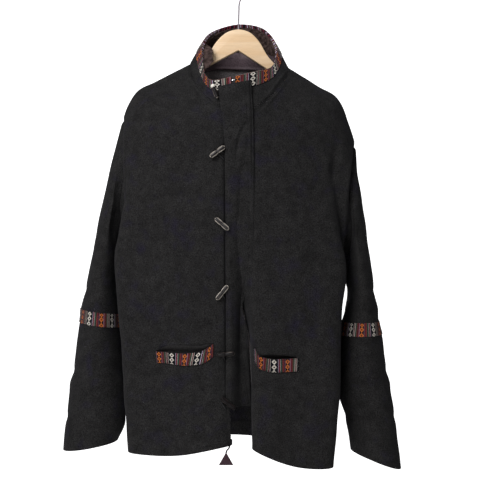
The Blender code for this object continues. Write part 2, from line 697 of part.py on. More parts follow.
def make_wool(panels):
    """The six main panels, by name."""
    made = {}
    for name, panel in panels.items():
        grid = panel["grid"] + panel["shift"]
        made[name] = wall(name, grid, grid - panel["normals"] * WOOL, panel["around"], "wool")
    return made


def make_linings(panels):
    """The collar's fleece and the back's lining, inside the wool."""
    collar = panels["collar"]
    rows, columns = collar["grid"].shape[:2]
    inside = collar["grid"] - collar["normals"] * (WOOL + LYING_GAP)
    below = np.minimum(np.array(FLEECE_RISE_AT, int), rows - 2)
    share = (np.array(FLEECE_RISE_AT) - below)[:, None, None]
    outer = (inside[below] * (1 - share) + inside[below + 1] * share)[:, 1 : columns - 1]
    facing = collar["normals"][below] * (1 - share) + collar["normals"][below + 1] * share
    deeper = outer - facing[:, 1 : columns - 1] * FLEECE
    wall("collar_fleece", outer, deeper, False, "fleece")
    back = panels["back"]
    rows = range(*LINING_ROWS)
    columns = range(*LINING_COLUMNS)
    outer = offset(back, rows, columns, -WOOL - LYING_GAP)
    wall("lining_back", outer, offset(back, rows, columns, -WOOL - LYING_GAP - LINING), False, "lining")


def make_bands(panels):
    """The woven bands round the collar's top and both sleeves."""
    collar = panels["collar"]
    rows = range(BAND_RISE, collar["grid"].shape[0])
    columns = range(collar["grid"].shape[1])
    outer = offset(collar, rows, columns, GAP + BAND)
    inner = offset(collar, rows, columns, GAP)
    made = {"band_collar": wall("band_collar", outer, inner, False, "woven band")}
    for side in ("left", "right"):
        sleeve = panels["sleeve_" + side]
        rows = [index for index, at in enumerate(RINGS_AT) if BAND_RING <= at <= BAND_RING + 1]
        columns = range(sleeve["grid"].shape[1])
        name = "band_sleeve_" + side
        outer = offset(sleeve, rows, columns, GAP + BAND)
        made[name] = wall(name, outer, offset(sleeve, rows, columns, GAP), True, "woven band")
    return made


def surface(items):
    """A search tree over the shapes of some objects, in millimetres."""
    graph = bpy.context.evaluated_depsgraph_get()
    mesh = bmesh.new()
    for item in items:
        evaluated = item.evaluated_get(graph)
        mesh.from_mesh(evaluated.to_mesh())
        evaluated.to_mesh_clear()
    bmesh.ops.scale(mesh, vec=(1 / MM, 1 / MM, 1 / MM), verts=mesh.verts)
    tree = BVHTree.FromBMesh(mesh)
    mesh.free()
    return tree


def depth_at(tree, x, z, beyond=0.0):
    """How deep the first surface lies that a look from the front meets at (x, z)."""
    point = tree.ray_cast(Vector((x, FAR_IN_FRONT, z)), Vector((0, 1, 0)))[0]
    return beyond if point is None else point.y


def make_flap():
    """The flap over the opening, sewn to the right front."""
    grid = flap_grid()
    facing = normals(grid, False, (0, -400, -500))
    return wall("flap", grid, grid - facing * WOOL, False, "wool")


def edge_strip(panel, column, rows, inward):
    """Outer points of a strip behind a panel's free edge: from past the edge to inside it."""
    edge = panel["grid"][rows, column]
    beside = panel["grid"][rows, column + inward]
    across = (beside - edge) / np.linalg.norm(beside - edge, axis=1)[:, None]
    facing = panel["normals"][rows, column]
    start = edge - facing * (WOOL + LYING_GAP)
    return [start + across * reach for reach in (-ZIP_SHOWS, 0.0, ZIP_WIDTH - ZIP_SHOWS)], facing


def make_zip(panels):
    """Both halves of the zip, up the front edges and the collar's ends, and the slider."""
    first = LEVELS_AT.index(NECK_LEVELS)
    collar_rows = np.arange(len(COLLAR_RISE_AT) - 1, 0, -1)
    front_rows = np.arange(first, len(LEVELS_AT))
    for side, collar_column, collar_inward in (("left", 0, 1), ("right", -1, -1)):
        high, high_facing = edge_strip(panels["collar"], collar_column, collar_rows, collar_inward)
        low, low_facing = edge_strip(panels["front_" + side], 0, front_rows, 1)
        outer = np.stack([np.concatenate(pair) for pair in zip(high, low)], axis=1)
        facing = np.concatenate([high_facing, low_facing])[:, None]
        outer[-1] += ZIP_ENDS_ABOVE * (outer[-2] - outer[-1]) / np.linalg.norm(outer[-2] - outer[-1])
        wall("zip_" + side, outer, outer - facing * ZIP_THICKNESS, False, "zip metal")


def box(name, centre, size, rounding, finish):
    """A box with rounded edges."""
    mesh = bmesh.new()
    bmesh.ops.create_cube(mesh, size=1.0)
    bmesh.ops.scale(mesh, vec=size, verts=mesh.verts)
    bmesh.ops.bevel(
        mesh, geom=mesh.edges[:], offset=rounding, segments=2, profile=0.5, affect="EDGES", material=-1
    )
    bmesh.ops.translate(mesh, vec=centre, verts=mesh.verts)
    return add_object(name, mesh, finish)


def cord(name, points, across, finish):
    """A tube through points in millimetres, with flat ends."""
    line = bpy.data.curves.new(name, "CURVE")
    line.dimensions = "3D"
    line.bevel_depth = across / 2 * MM
    line.bevel_resolution = 1 if across < WIRE else 2
    line.use_fill_caps = True
    path = line.splines.new("POLY")
    path.points.add(len(points) - 1)
    for spot, point in zip(path.points, points):
        spot.co = (*(np.array(point) * MM), 1.0)
    line.materials.append(material(finish))
    item = bpy.data.objects.new(name, line)
    bpy.context.scene.collection.objects.link(item)
    return item


def make_pull():
    """The zip's slider at its bottom end, the pull cord that hangs from it, and the cloth tag."""
    box("zip_slider", SLIDER_AT, SLIDER, SLIDER_ROUNDING, "zip metal")
    route = np.array(PULL_ROUTE, float)
    cord("zip_cord", evenly(route, np.linspace(0, len(route) - 1, 9)), PULL_CORD, "cord")
    mesh = bmesh.new()
    x, y, z = route[-1] - np.array([0, 0, 2 * GAP])
    corners = (
        (x - TAG_TOP / 2, z), (x - TAG_WIDTH / 2, z - TAG_HEIGHT),
        (x + TAG_WIDTH / 2, z - TAG_HEIGHT), (x + TAG_TOP / 2, z),
    )
    outline = [mesh.verts.new((a, y - TAG_THICKNESS / 2, b)) for a, b in corners]
    face = mesh.faces.new(outline)
    deep = bmesh.ops.extrude_face_region(mesh, geom=[face], use_keep_orig=True)
    moved = [part for part in deep["geom"] if isinstance(part, bmesh.types.BMVert)]
    bmesh.ops.translate(mesh, vec=(0, TAG_THICKNESS, 0), verts=moved)
    bmesh.ops.recalc_face_normals(mesh, faces=mesh.faces)
    bmesh.ops.bevel(
        mesh, geom=mesh.edges[:], offset=TAG_ROUNDING, segments=1, profile=0.5, affect="EDGES", material=-1
    )
    add_object("zip_tag", mesh, "tag cloth")


def cut(target, cutter):
    """Takes the cutter's shape out of the target."""
    cutter.hide_render = True
    cutter.display_type = "WIRE"
    change = target.modifiers.new("cut", "BOOLEAN")
    change.operation = "DIFFERENCE"
    change.solver = "EXACT"
    change.object = cutter


def make_pocket(side, rows, front):
    """One pocket: its mouth through the front, the bag behind it, and the band under the mouth."""
    c = table(rows, MOUTH_COLUMNS)
    tree = surface([front])
    reach = np.linspace(0, len(rows) - 1, 13)
    lip = evenly(places(c, "lip_x", "lip_z"), reach)
    low = evenly(places(c, "low_x", "low_z"), reach)
    band = []
    for upper, lower in zip(lip, low):
        section = [upper + (lower - upper) * share for share in (0.0, 0.35, 0.7, 1.0)]
        band.append([(x, depth_at(tree, x, z) - BAND_CLEAR, z) for x, z in section])
    band = np.array(band)
    name = "band_pocket_" + side
    made = wall(name, band - np.array([0, BAND, 0]), band, False, "woven band")

    shut = np.flatnonzero(c["open"] == 0)
    ends = (shut[shut < len(rows) / 2].max(), shut[shut > len(rows) / 2].min())
    reach = np.linspace(ends[0], ends[1], 15)
    lip = evenly(places(c, "lip_x", "lip_z"), reach)
    opening = np.maximum(evenly(c["open"].reshape(-1, 1), reach)[:, 0], 0)
    outline = list(lip) + [(x, z + up) for (x, z), up in zip(lip[-2:0:-1], opening[-2:0:-1])]
    middle = depth_at(tree, *lip[len(lip) // 2])
    mesh = bmesh.new()
    face = mesh.faces.new([mesh.verts.new((x, middle - MOUTH_AHEAD, z)) for x, z in outline])
    deep = bmesh.ops.extrude_face_region(mesh, geom=[face], use_keep_orig=True)
    moved = [part for part in deep["geom"] if isinstance(part, bmesh.types.BMVert)]
    bmesh.ops.translate(mesh, vec=(0, MOUTH_AHEAD + BAG_DEPTH, 0), verts=moved)
    bmesh.ops.recalc_face_normals(mesh, faces=mesh.faces)

    bag = []
    for across in np.linspace(0, 1, 9):
        x = lip[0, 0] + (lip[-1, 0] - lip[0, 0]) * across
        top = np.interp(x, lip[:, 0], lip[:, 1] + opening) + BAG_ABOVE
        fullness = math.sin(math.pi * across) ** BAG_ROUND if 0 < across < 1 else 0.0
        column = []
        for down in (0, 0.08, 0.2, 0.4, 0.6, 0.8, 0.93, 1):
            z = top - BAG_HEIGHT * down
            inside = 0 < down < 1
            deep = fullness * math.sin(math.pi * down**BAG_ROUND) ** BAG_ROUND if inside else 0.0
            column.append((x, depth_at(tree, x, z) + WOOL + BAG_CLEAR + BAG_DEPTH * deep, z))
        bag.append(column)
    bag = np.array(bag)
    wall("pocket_" + side, bag, bag + np.array([0, POCKET_CLOTH, 0]), False, "lining")
    cut(front, add_object("mouth_" + side, mesh, "lining"))
    return made


def turned(profile, sides):
    """A body turned about the X axis through (along, radius) points, in millimetres."""
    mesh = bmesh.new()
    line = [mesh.verts.new((along, 0, radius)) for along, radius in profile]
    edges = [mesh.edges.new(pair) for pair in zip(line, line[1:])]
    bmesh.ops.spin(
        mesh, geom=line + edges, cent=(0, 0, 0), axis=(1, 0, 0), angle=2 * math.pi,
        steps=sides, use_merge=True,
    )
    bmesh.ops.remove_doubles(mesh, verts=mesh.verts, dist=1e-4)
    bmesh.ops.recalc_face_normals(mesh, faces=mesh.faces)
    return mesh


def flap_edge(z):
    """Where the flap's free edge is at a height."""
    c = table(FLAP, FLAP_COLUMNS)
    return np.interp(-z, -c["free_z"], c["free_x"])


def loop_route(tree, middle, hang):
    """Points of a loop: out of the flap's edge, round under the toggle's middle, and back."""
    x, z = middle
    x = min(x, flap_edge(z) - LOOP_REACH)
    heights = (z - hang + LOOP_SPREAD, z - hang - LOOP_SPREAD)
    ends = [(flap_edge(height) - LOOP_CLEAR, height) for height in heights]
    plan = [ends[0], *((x + right, z + up) for right, up in LOOP_BENDS), ends[1]]
    plan = evenly(np.array(plan), np.linspace(0, len(plan) - 1, 13))
    clear = LOOP_CORD / 2 + LYING_GAP
    return [(a, depth_at(tree, a, b) - clear, b) for a, b in plan]


def make_toggles(under, flap):
    """The toggles and the loops that hold them to the flap's edge."""
    beneath = surface(under)
    half = TOGGLE_PROFILE[::-1]
    profile = [(-along, radius) for along, radius in half[:-1]] + TOGGLE_PROFILE
    for number, row in enumerate(TOGGLES, 1):
        left_x, left_z, right_x, right_z, hang = row
        middle = np.array([(left_x + right_x) / 2, (left_z + right_z) / 2])
        loop = cord(f"toggle_loop_{number}", loop_route(beneath, middle, hang), LOOP_CORD, "cord")
        above = surface([*under, flap, loop])
        seen = np.array([right_x - left_x, right_z - left_z], float)
        seen /= np.linalg.norm(seen)
        beside = np.array([-seen[1], seen[0]])
        spots = [middle + seen * reach for reach in (-TOGGLE_RESTS_AT, TOGGLE_RESTS_AT)]
        near = [depth_at(above, *spot) for spot in spots]
        lean = (near[1] - near[0]) / (2 * TOGGLE_RESTS_AT)
        depth = math.inf
        for along in np.linspace(-TOGGLE_LENGTH / 2, TOGGLE_LENGTH / 2, 35):
            radius = np.interp(along, *zip(*profile))
            for across in np.linspace(-radius, radius, 9):
                spot = middle + seen * along + beside * across
                rounding = math.sqrt(max(radius**2 - across**2, 0.0))
                here = depth_at(above, *spot, beyond=math.inf)
                depth = min(depth, here - LYING_GAP - rounding - lean * along)
        axis = Vector((seen[0], lean, seen[1])).normalized()
        mesh = turned(profile, TOGGLE_SIDES)
        turn = axis.to_track_quat("X", "Y").to_matrix()
        bmesh.ops.rotate(mesh, matrix=turn, cent=(0, 0, 0), verts=mesh.verts)
        bmesh.ops.translate(mesh, vec=(middle[0], depth, middle[1]), verts=mesh.verts)
        add_object(f"toggle_{number}", mesh, "horn")


def make_hanger():
    """The wooden hanger, with the wire hook in its bore."""
    mesh = bmesh.new()
    outline = [mesh.verts.new((x, -HANGER_THICKNESS / 2, z)) for x, z in HANGER_RIGHT + HANGER_LEFT]
    face = mesh.faces.new(outline)
    deep = bmesh.ops.extrude_face_region(mesh, geom=[face], use_keep_orig=True)
    moved = [part for part in deep["geom"] if isinstance(part, bmesh.types.BMVert)]
    bmesh.ops.translate(mesh, vec=(0, HANGER_THICKNESS, 0), verts=moved)
    bmesh.ops.recalc_face_normals(mesh, faces=mesh.faces)
    rims = [edge for edge in mesh.edges if abs(edge.verts[0].co.y - edge.verts[1].co.y) < 1e-3]
    bmesh.ops.bevel(
        mesh, geom=rims, offset=HANGER_ROUNDING, segments=2, profile=0.5, affect="EDGES", material=-1
    )
    hanger = add_object("hanger", mesh, "beech")
    crown = -HOOK_RADIUS
    circle = HOOK_RADIUS + WIRE / 2
    top = HANGER_RIGHT[0][1]
    route = [(0, top - BORE_DEPTH + BORE_LEFT)] + [(x, top + z) for x, z in HOOK_NECK]
    for turn in HOOK_TURNS:
        angle = math.radians(turn)
        route.append((circle * math.cos(angle), crown + circle * math.sin(angle)))
    route = np.array([(x, 0.0, z) for x, z in route])
    cord("hook", curve(route, np.linspace(0, len(route) - 1, 46)), WIRE, "steel wire")
    bore = bmesh.new()
    bmesh.ops.create_cone(
        bore, segments=16, radius1=WIRE / 2 + GAP, radius2=WIRE / 2 + GAP, depth=2 * BORE_DEPTH, cap_ends=True
    )
    bmesh.ops.translate(bore, vec=(0, 0, top), verts=bore.verts)
    cut(hanger, add_object("bore", bore, "beech"))


def main():
    clear_scene()
    panels = make_panels()
    wool = make_wool(panels)
    make_linings(panels)
    bands = make_bands(panels)
    flap = make_flap()
    make_zip(panels)
    make_pull()
    make_toggles([wool["front_left"], wool["collar"], bands["band_collar"]], flap)
    make_pocket("left", MOUTH_LEFT, wool["front_left"])
    make_pocket("right", MOUTH_RIGHT, wool["front_right"])
    make_hanger()


main()
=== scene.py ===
"""Duffle coat on a wooden hanger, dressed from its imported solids.

Run it in Blender 4.5 as a script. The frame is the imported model, in metres, with the hook's inner
crown at the origin, +X to the viewer's right and the front facing -Y. Tables and lengths of cloth
are in millimetres and become metres when a piece is finished. Left and right are the viewer's.
"""

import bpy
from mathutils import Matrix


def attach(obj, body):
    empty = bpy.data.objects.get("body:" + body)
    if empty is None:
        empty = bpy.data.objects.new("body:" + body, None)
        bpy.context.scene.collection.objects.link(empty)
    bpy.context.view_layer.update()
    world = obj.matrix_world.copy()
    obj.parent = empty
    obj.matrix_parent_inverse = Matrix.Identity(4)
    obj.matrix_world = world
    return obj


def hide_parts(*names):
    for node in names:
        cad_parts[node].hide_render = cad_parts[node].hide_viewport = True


bl_info = {
    "name": "Duffle Coat on a Hanger",
    "version": (1, 0, 0),
    "blender": (4, 5, 0),
    "location": "View3D > Sidebar > Coat",
    "description": "Builds a black wool duffle coat with woven bands, horn toggles and its hanger",
    "category": "Add Mesh",
}

import functools
import math

import bmesh
import bpy
import numpy as np
from bpy.props import FloatProperty, FloatVectorProperty, PointerProperty
from mathutils import Matrix, Vector, noise
from mathutils.bvhtree import BVHTree
from mathutils.kdtree import KDTree

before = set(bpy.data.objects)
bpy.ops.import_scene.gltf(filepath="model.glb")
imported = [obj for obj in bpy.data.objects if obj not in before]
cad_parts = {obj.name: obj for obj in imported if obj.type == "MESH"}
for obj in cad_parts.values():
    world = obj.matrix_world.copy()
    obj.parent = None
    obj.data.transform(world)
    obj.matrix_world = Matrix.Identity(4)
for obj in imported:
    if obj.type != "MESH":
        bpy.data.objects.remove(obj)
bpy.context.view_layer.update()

MM = 0.001
BODY = "root"

# Gaps and places, in millimetres, as in the part's source.
FLEECE = 4.0
LINING = 1.0
BAND = 1.2
POCKET_CLOTH = 1.2
SEAM_GAP = 0.2
LYING_GAP = 0.5
LOOP_CORD = 2.2
WIRE = 3.2
HOOK_RADIUS = 17.0
HANGER_THICKNESS = 12.0
ZIP_TAPE = 0.9
PULL_CORD = 2.8
TAG_WIDTH = 27.0
TAG_HEIGHT = 22.0
TAG_THREAD = 1.3
TAG_CLOTH = 2.4
TAG_TIP = 1.0
TAG_CURL = 0.8
TAG_ROUNDING = 0.7
SLIDER_AT = (-14.5, -99.9, -880)
PULL_ROUTE = [(-15.5, -100, -886.2), (-17, -104, -890.5), (-20.5, -113, -893), (-22, -118, -896.4)]
FAR_IN_FRONT = -400.0

# Collar, from centre front round the viewer's left side, the back and the right side.
COLLAR_COLUMNS = ("base_x", "base_y", "base_z", "top_x", "top_y", "top_z")
COLLAR = [
    (-12, -103, -264, -13, -80, -201),
    (-41, -95, -253, -47, -70, -206),
    (-64, -74, -233, -63, -48, -191),
    (-85, -42, -200, -69, -32, -157),
    (-95, 2, -162, -69, -8, -123),
    (-72, 52, -139, -51, 48, -90),
    (-1, 85, -135, -1, 76, -70),
    (66, 56, -142, 46, 58, -81),
    (97, 2, -170, 70, 25, -112),
    (89, -38, -199, 74, -5, -143),
    (65, -72, -231, 63, -35, -175),
    (29, -97, -259, 32, -66, -189),
    (-5, -103, -264, -5, -80, -200),
]
SIDE_LEFT, NAPE, SIDE_RIGHT = 4, 6, 8
COLLAR_BULGE = 5.0

# Fronts: a row for each level from the shoulder seam to the hem.
FRONT_COLUMNS = (
    "edge_x", "edge_y", "edge_z", "turn_x", "turn_y", "ridge_x", "ridge_y", "ridge_z",
    "seam_x", "seam_y", "seam_z", "belly", "drop", "hollow",
)
FRONT_LEFT = [
    (-95, 2, -162, -124, 0, -194, 0, -215, -225, 0, -271, 0, 0, -4),
    (-85, -42, -200, -118, -34, -196, -22, -229, -225, -25, -294, 3, 0, -3),
    (-64, -74, -233, -98, -64, -195, -44, -250, -225, -45, -321, 6, 0, -3),
    (-41, -95, -253, -74, -86, -197, -60, -286, -224, -58, -354, 8, 0, -2),
    (-12, -103, -264, -44, -101, -202, -70, -336, -223, -64, -398, 8, 0, 0),
    (-12, -110, -340, -42, -110, -209, -77, -402, -223, -58, -445, 8, 0, 2),
    (-12, -114, -432, -42, -115, -223, -82, -491, -226, -36, -496, 9, 0, 5),
    (-13, -117, -515, -42, -118, -231, -84, -539, -228, 3, -531, 10, 0, 6),
    (-15, -119, -616, -42, -121, -224, -88, -627, -220, 2, -625, 10, 0, 2),
    (-16, -120, -707, -41, -122, -215, -88, -720, -212, 2, -718, 10, 0, -3),
    (-16, -118, -799, -36, -121, -209, -88, -813, -206, 2, -811, 10, 0, -3),
    (-12, -106, -886, -28, -118, -204, -87, -902, -200, 2, -902, 10, 9, -3),
]
FRONT_RIGHT = [
    (97, 2, -170, 125, 0, 192, 0, -229, 229, 0, -322, 0, 0, -4),
    (89, -38, -199, 118, -34, 188, -22, -240, 225, -24, -346, 3, 0, -3),
    (65, -72, -231, 96, -64, 178, -44, -262, 221, -44, -372, 6, 0, -3),
    (29, -97, -259, 62, -88, 166, -62, -300, 217, -58, -402, 8, 0, 0),
    (-5, -103, -264, 28, -103, 164, -72, -350, 213, -64, -440, 8, 0, 3),
    (-5, -110, -340, 27, -111, 174, -79, -412, 210, -58, -485, 8, 0, 4),
    (-5, -114, -432, 26.5, -116, 190, -83, -496, 208, -36, -536, 9, 0, 6),
    (-4, -116, -515, 26, -119, 203, -84, -556, 207, 3, -572, 10, 0, 6),
    (6, -100, -616, 25.5, -119, 196, -87, -630, 190, 2, -640, 10, 0, 0),
    (24, -73, -710, 26, -117, 190, -88, -716, 178, 2, -726, 10, 2, -3),
    (31, -62, -806, 26.5, -116, 187, -88, -808, 174, 2, -817, 10, 6, -3),
    (32, -60, -892, 27, -115, 176, -87, -931, 167, 2, -924, 10, 12, -3),
]
UNDERARM = 7
NECK_LEVELS = 4
ARM_MIDDLE = 3.0
HOLE_LEAVES = (0, 28.0, -2)
HOLE_ARRIVES = (0, -40.0, -4)
FACE_SHARES = (0.45, 0.55)
FRONT_START = (1.0, 1.3, 0.15)

# Back: a row for each level from level 3 on.
BACK_COLUMNS = ("left_x", "right_x", "ridge_y", "middle_y", "middle_z")
BACK = [
    (-196, 184, 56, 98, -225),
    (-198, 180, 66, 99, -285),
    (-203, 184, 73, 97, -360),
    (-210, 190, 78, 95, -450),
    (-215, 194, 81, 94, -525),
    (-212, 189, 84, 93, -618),
    (-206, 183, 85, 93, -710),
    (-202, 179, 85, 92, -802),
    (-199, 172, 84, 91, -901),
]
BACK_FIRST = 3
BACK_REACH = (0.80, 0.60, 0.44, 0.22)
BACK_POWERS = (1, 3, 1.5)
BACK_MIDDLE = -1.0
# How steeply the cloth leaves its top: all of it, and downwards at the shoulders and the neck.
BACK_START = 1.35
SHOULDER_FALL = 0.05
NECK_FALL = (0.35, 0.6, 0.7, 0.6, 0.35)

# Sleeves: a row for each ring after the armhole, with x and z of its outer and of its inner side,
# y of its middle and half its depth.
SLEEVE_LEFT = [
    (-243, -330, -233, -548, 4, 71),
    (-258, -400, -235, -570, 5, 71),
    (-274, -475, -235, -596, 6, 70),
    (-289, -555, -232, -624, 7, 70),
    (-303, -638, -229, -648, 8, 70),
    (-308, -664, -228, -674, 8, 68),
    (-317, -715, -224, -728, 9, 63),
    (-327, -775, -221, -790, 10, 59),
    (-336, -845, -222, -858, 10, 55),
    (-344, -914, -238, -897, 10, 53),
]
SLEEVE_RIGHT = [
    (232, -376, 211, -588, 4, 71),
    (240, -436, 213, -606, 5, 71),
    (251, -510, 214, -624, 6, 70),
    (263, -588, 210, -646, 7, 70),
    (275, -662, 203, -664, 8, 69),
    (280, -688, 198, -690, 8, 67),
    (287, -740, 192, -742, 9, 62),
    (296, -796, 191, -794, 10, 58),
    (309, -872, 207, -846, 10, 55),
    (320, -951, 221, -916, 10, 54),
]
BAND_RING = 5

# Flap: its free edge and its sewn edge at each row.
FLAP_COLUMNS = ("free_x", "free_y", "free_z", "sewn_x", "sewn_y", "sewn_z", "bow", "swing")
FLAP = [
    (-39, -86.2, -219, 25, -84.6, -206, 6.4, 0),
    (-35, -96.2, -242, 26, -93.4, -235, 5.2, 0),
    (-32, -104.2, -262, 27.5, -101.4, -257, 3.6, 0),
    (-28, -108.2, -285, 28.5, -107.4, -283, 1.6, 0),
    (-25, -112.7, -330, 29, -113.0, -328, 0.4, 0),
    (-24, -117.0, -400, 29, -118.1, -400, 0.3, 0),
    (-23, -120.2, -480, 28.5, -122.1, -480, 0.3, 0),
    (-22.5, -122.5, -560, 26, -123.6, -560, 0, 6),
    (-22, -123.6, -600, 20, -121.0, -600, 0, 12),
    (-22, -124.0, -640, 17.5, -113.5, -640, 0, 28),
    (-22, -124.5, -707, 20.5, -99, -708, 0, 46),
    (-22, -124.2, -760, 23.6, -91, -762, 0, 52),
    (-22, -122.2, -812, 25.6, -86, -815, 0, 55),
]
FLAP_TURNED = 6
BOW_PULL = 4

# Pockets: the mouth's lower lip, the band's lower edge, and how far the mouth opens.
MOUTH_COLUMNS = ("lip_x", "lip_z", "low_x", "low_z", "open")
MOUTH_LEFT = [
    (-151, -711, -149, -732, 0), (-131, -712, -130, -732.5, 12), (-100, -714, -102, -736, 15),
    (-72, -711, -78, -734.5, 11), (-58, -705, -62, -731, 8), (-45, -695.5, -45, -719, 0),
]
MOUTH_RIGHT = [
    (29, -700, 29.5, -726, 0), (38, -716.5, 38, -739, 0), (51, -722, 49, -745, 6),
    (66, -724, 66, -748, 8), (88, -724, 88, -748, 6), (112, -723.5, 111, -747.5, 0),
]
MOUTHS = {"left": MOUTH_LEFT, "right": MOUTH_RIGHT}
CUT_BEFORE = 15

# Toggles, top to bottom: x and z of the left and of the right end, how far below its middle the loop
# leaves the flap's edge, and the share of painted highlight on its pale rim; low shares also paint the
# lower toggles darker, as painted shade.
TOGGLES = [
    (-49, -213, -38, -244, 4, 0.4),
    (-51, -353, -25, -334, 8, 1.0),
    (-43, -465, -16, -488, 7, 1.0),
    (-42, -618, -16, -586, 7, 0.95),
    (-38, -716, -7, -713, 6, 0.22),
    (-31, -794, -5, -815, 5, 0.08),
]
# Loops: half the distance of their ends, how far these are from the flap's edge and how far a
# loop goes at least, its bends about the toggle's middle, and its points.
LOOP_SPREAD = 6.0
LOOP_CLEAR = 1.4
LOOP_REACH = 6.0
LOOP_STEPS = 41
LOOP_BENDS = ((1.5, 2.2), (-1.4, 0.9), (-0.6, -2.0))

# Hanger outline, from the top of the dome along each arm.
HANGER_RIGHT = [
    (0, -95.5), (11, -97), (23, -102), (36, -114), (44, -125), (54, -143), (68, -160), (96, -179.5),
    (136, -201.5), (163, -216.5), (186, -232.5), (194, -242), (194, -254), (188, -258), (164, -247),
    (134, -226), (94, -199), (51, -170), (0, -136.5),
]
HANGER_LEFT = [
    (-27, -150.5), (-51, -163), (-94, -189), (-128, -208), (-160, -227), (-184, -243), (-192, -246),
    (-196, -241), (-192, -228), (-181, -217), (-157, -201.5), (-124, -186), (-94, -175),
    (-74, -167), (-57, -146), (-50, -130), (-37, -113), (-23, -101.5), (-11, -97),
]

# Places along the tables where the solids have their rows and columns.
LEVELS_AT = (0, 0.4, 1, 1.6, 2.3, 3, 3.6, 4, 4.6, 5.3, 6, 6.5, 7, 7.6, 8.3, 9, 9.6, 10.3, 11)
LEFT_AT = (0, 0.5, 1, 1.4, 1.8, 2.2, 2.6, 3, 3.4, 4, 4.5, 5)
RIGHT_AT = (0, 0.5, 0.85, 1, 1.2, 1.6, 2, 2.5, 3, 3.4, 4, 4.5, 5)
NAPE_AT = (5, 5.5, 6, 6.5, 7, 7.5, 8, 8.5, 9)
NECK_LEFT, NECK_RIGHT = 5, 9
NECK_STEP = NECK_LEFT - SIDE_LEFT  # from the collar's places to the back's columns
COLLAR_RISE_AT = (0, 0.3, 0.6, 0.8, 1)
RINGS_AT = (0, 0.5, 1, 1.6, 2.3, 3, 3.6, 4.3, 5, 6, 6.8, 7.6, 8.3, 9, 9.5, 10)

# How much finer the cloth here is than the solids.
LEVEL_STEPS = 8
COLUMN_STEPS = 5
RISE_STEPS = 8
RING_STEPS = 7
SEAM_STEPS = 14
HEM_STEPS = 28
FLAP_ROWS = 170
FLAP_COLUMNS_FINE = 64
SAME_POINT = 0.05
MERGE = 0.001

# Tubes: how far their ends reach and how wide these are, by the tube's width, and any way that no
# tube here runs in.
END_REACH = 0.35
END_SHARE = 0.45
TUBE_SIDE = (0.31, 0.77, 0.55)

# Creases as soft troughs (depth below zero) and ridges: depth, half width, points. The first and
# second tables are seen from the front and from the back in (x, z), the third from the sides in
# (y, z). All are in millimetres.
FRONT_CREASES = [
    (3.0, 10, [(146, -280), (152, -318), (166, -362), (172, -408), (170, -450)]),
    (-4.2, 8, [(192, -296), (187, -335), (180, -368), (171, -400)]),
    (-1.8, 7, [(-190, -560), (-187, -640), (-181, -705), (-171, -742), (-167, -870)]),
    (2.4, 30, [(-118, -330), (-126, -480), (-122, -650)]),
    (-2.0, 16, [(-80, -320), (-92, -430), (-86, -590), (-92, -680)]),
    (2.2, 24, [(104, -360), (118, -500), (108, -690)]),
    (-2.2, 14, [(66, -420), (74, -540), (64, -660)]),
    (-1.6, 12, [(142, -500), (150, -590), (146, -700)]),
    (-1.6, 9, [(-98, -232), (-128, -262), (-176, -300)]),
    (1.4, 10, [(-92, -252), (-124, -284), (-170, -330)]),
    (-1.5, 9, [(84, -262), (112, -288), (150, -306)]),
    (-1.6, 10, [(-205, -430), (-180, -462), (-150, -478)]),
    (-1.4, 10, [(196, -520), (170, -540), (140, -552)]),
    (-1.8, 12, [(-120, -770), (-110, -830), (-118, -900)]),
    (1.6, 16, [(-84, -760), (-78, -840), (-84, -900)]),
    (-1.8, 12, [(96, -770), (104, -840), (98, -915)]),
    (1.6, 15, [(66, -765), (62, -840), (70, -905)]),
    (-2.2, 8, [(-302, -590), (-280, -606), (-246, -604)]),
    (2.0, 10, [(-300, -612), (-276, -630), (-246, -628)]),
    (-2.4, 9, [(-232, -560), (-252, -575), (-284, -566)]),
    (-1.8, 9, [(-318, -735), (-296, -752), (-256, -750)]),
    (1.8, 11, [(-322, -762), (-296, -780), (-244, -774)]),
    (-2.0, 9, [(-232, -800), (-262, -822), (-304, -812)]),
    (-1.6, 8, [(-330, -850), (-304, -870), (-262, -866)]),
    (-2.0, 12, [(-238, -380), (-252, -440), (-262, -520)]),
    (2.2, 14, [(-262, -430), (-274, -510), (-288, -590)]),
    (-2.2, 8, [(276, -626), (258, -640), (226, -636)]),
    (2.0, 10, [(280, -612), (252, -606), (222, -606)]),
    (-2.4, 9, [(212, -590), (228, -604), (254, -592)]),
    (-1.8, 9, [(294, -770), (270, -784), (226, -772)]),
    (1.8, 11, [(298, -800), (272, -812), (214, -800)]),
    (-2.0, 9, [(204, -832), (238, -850), (282, -838)]),
    (-1.6, 8, [(306, -890), (280, -900), (240, -884)]),
    (-2.0, 12, [(236, -420), (236, -480), (240, -560)]),
    (2.0, 12, [(246, -460), (252, -530), (262, -610)]),
]
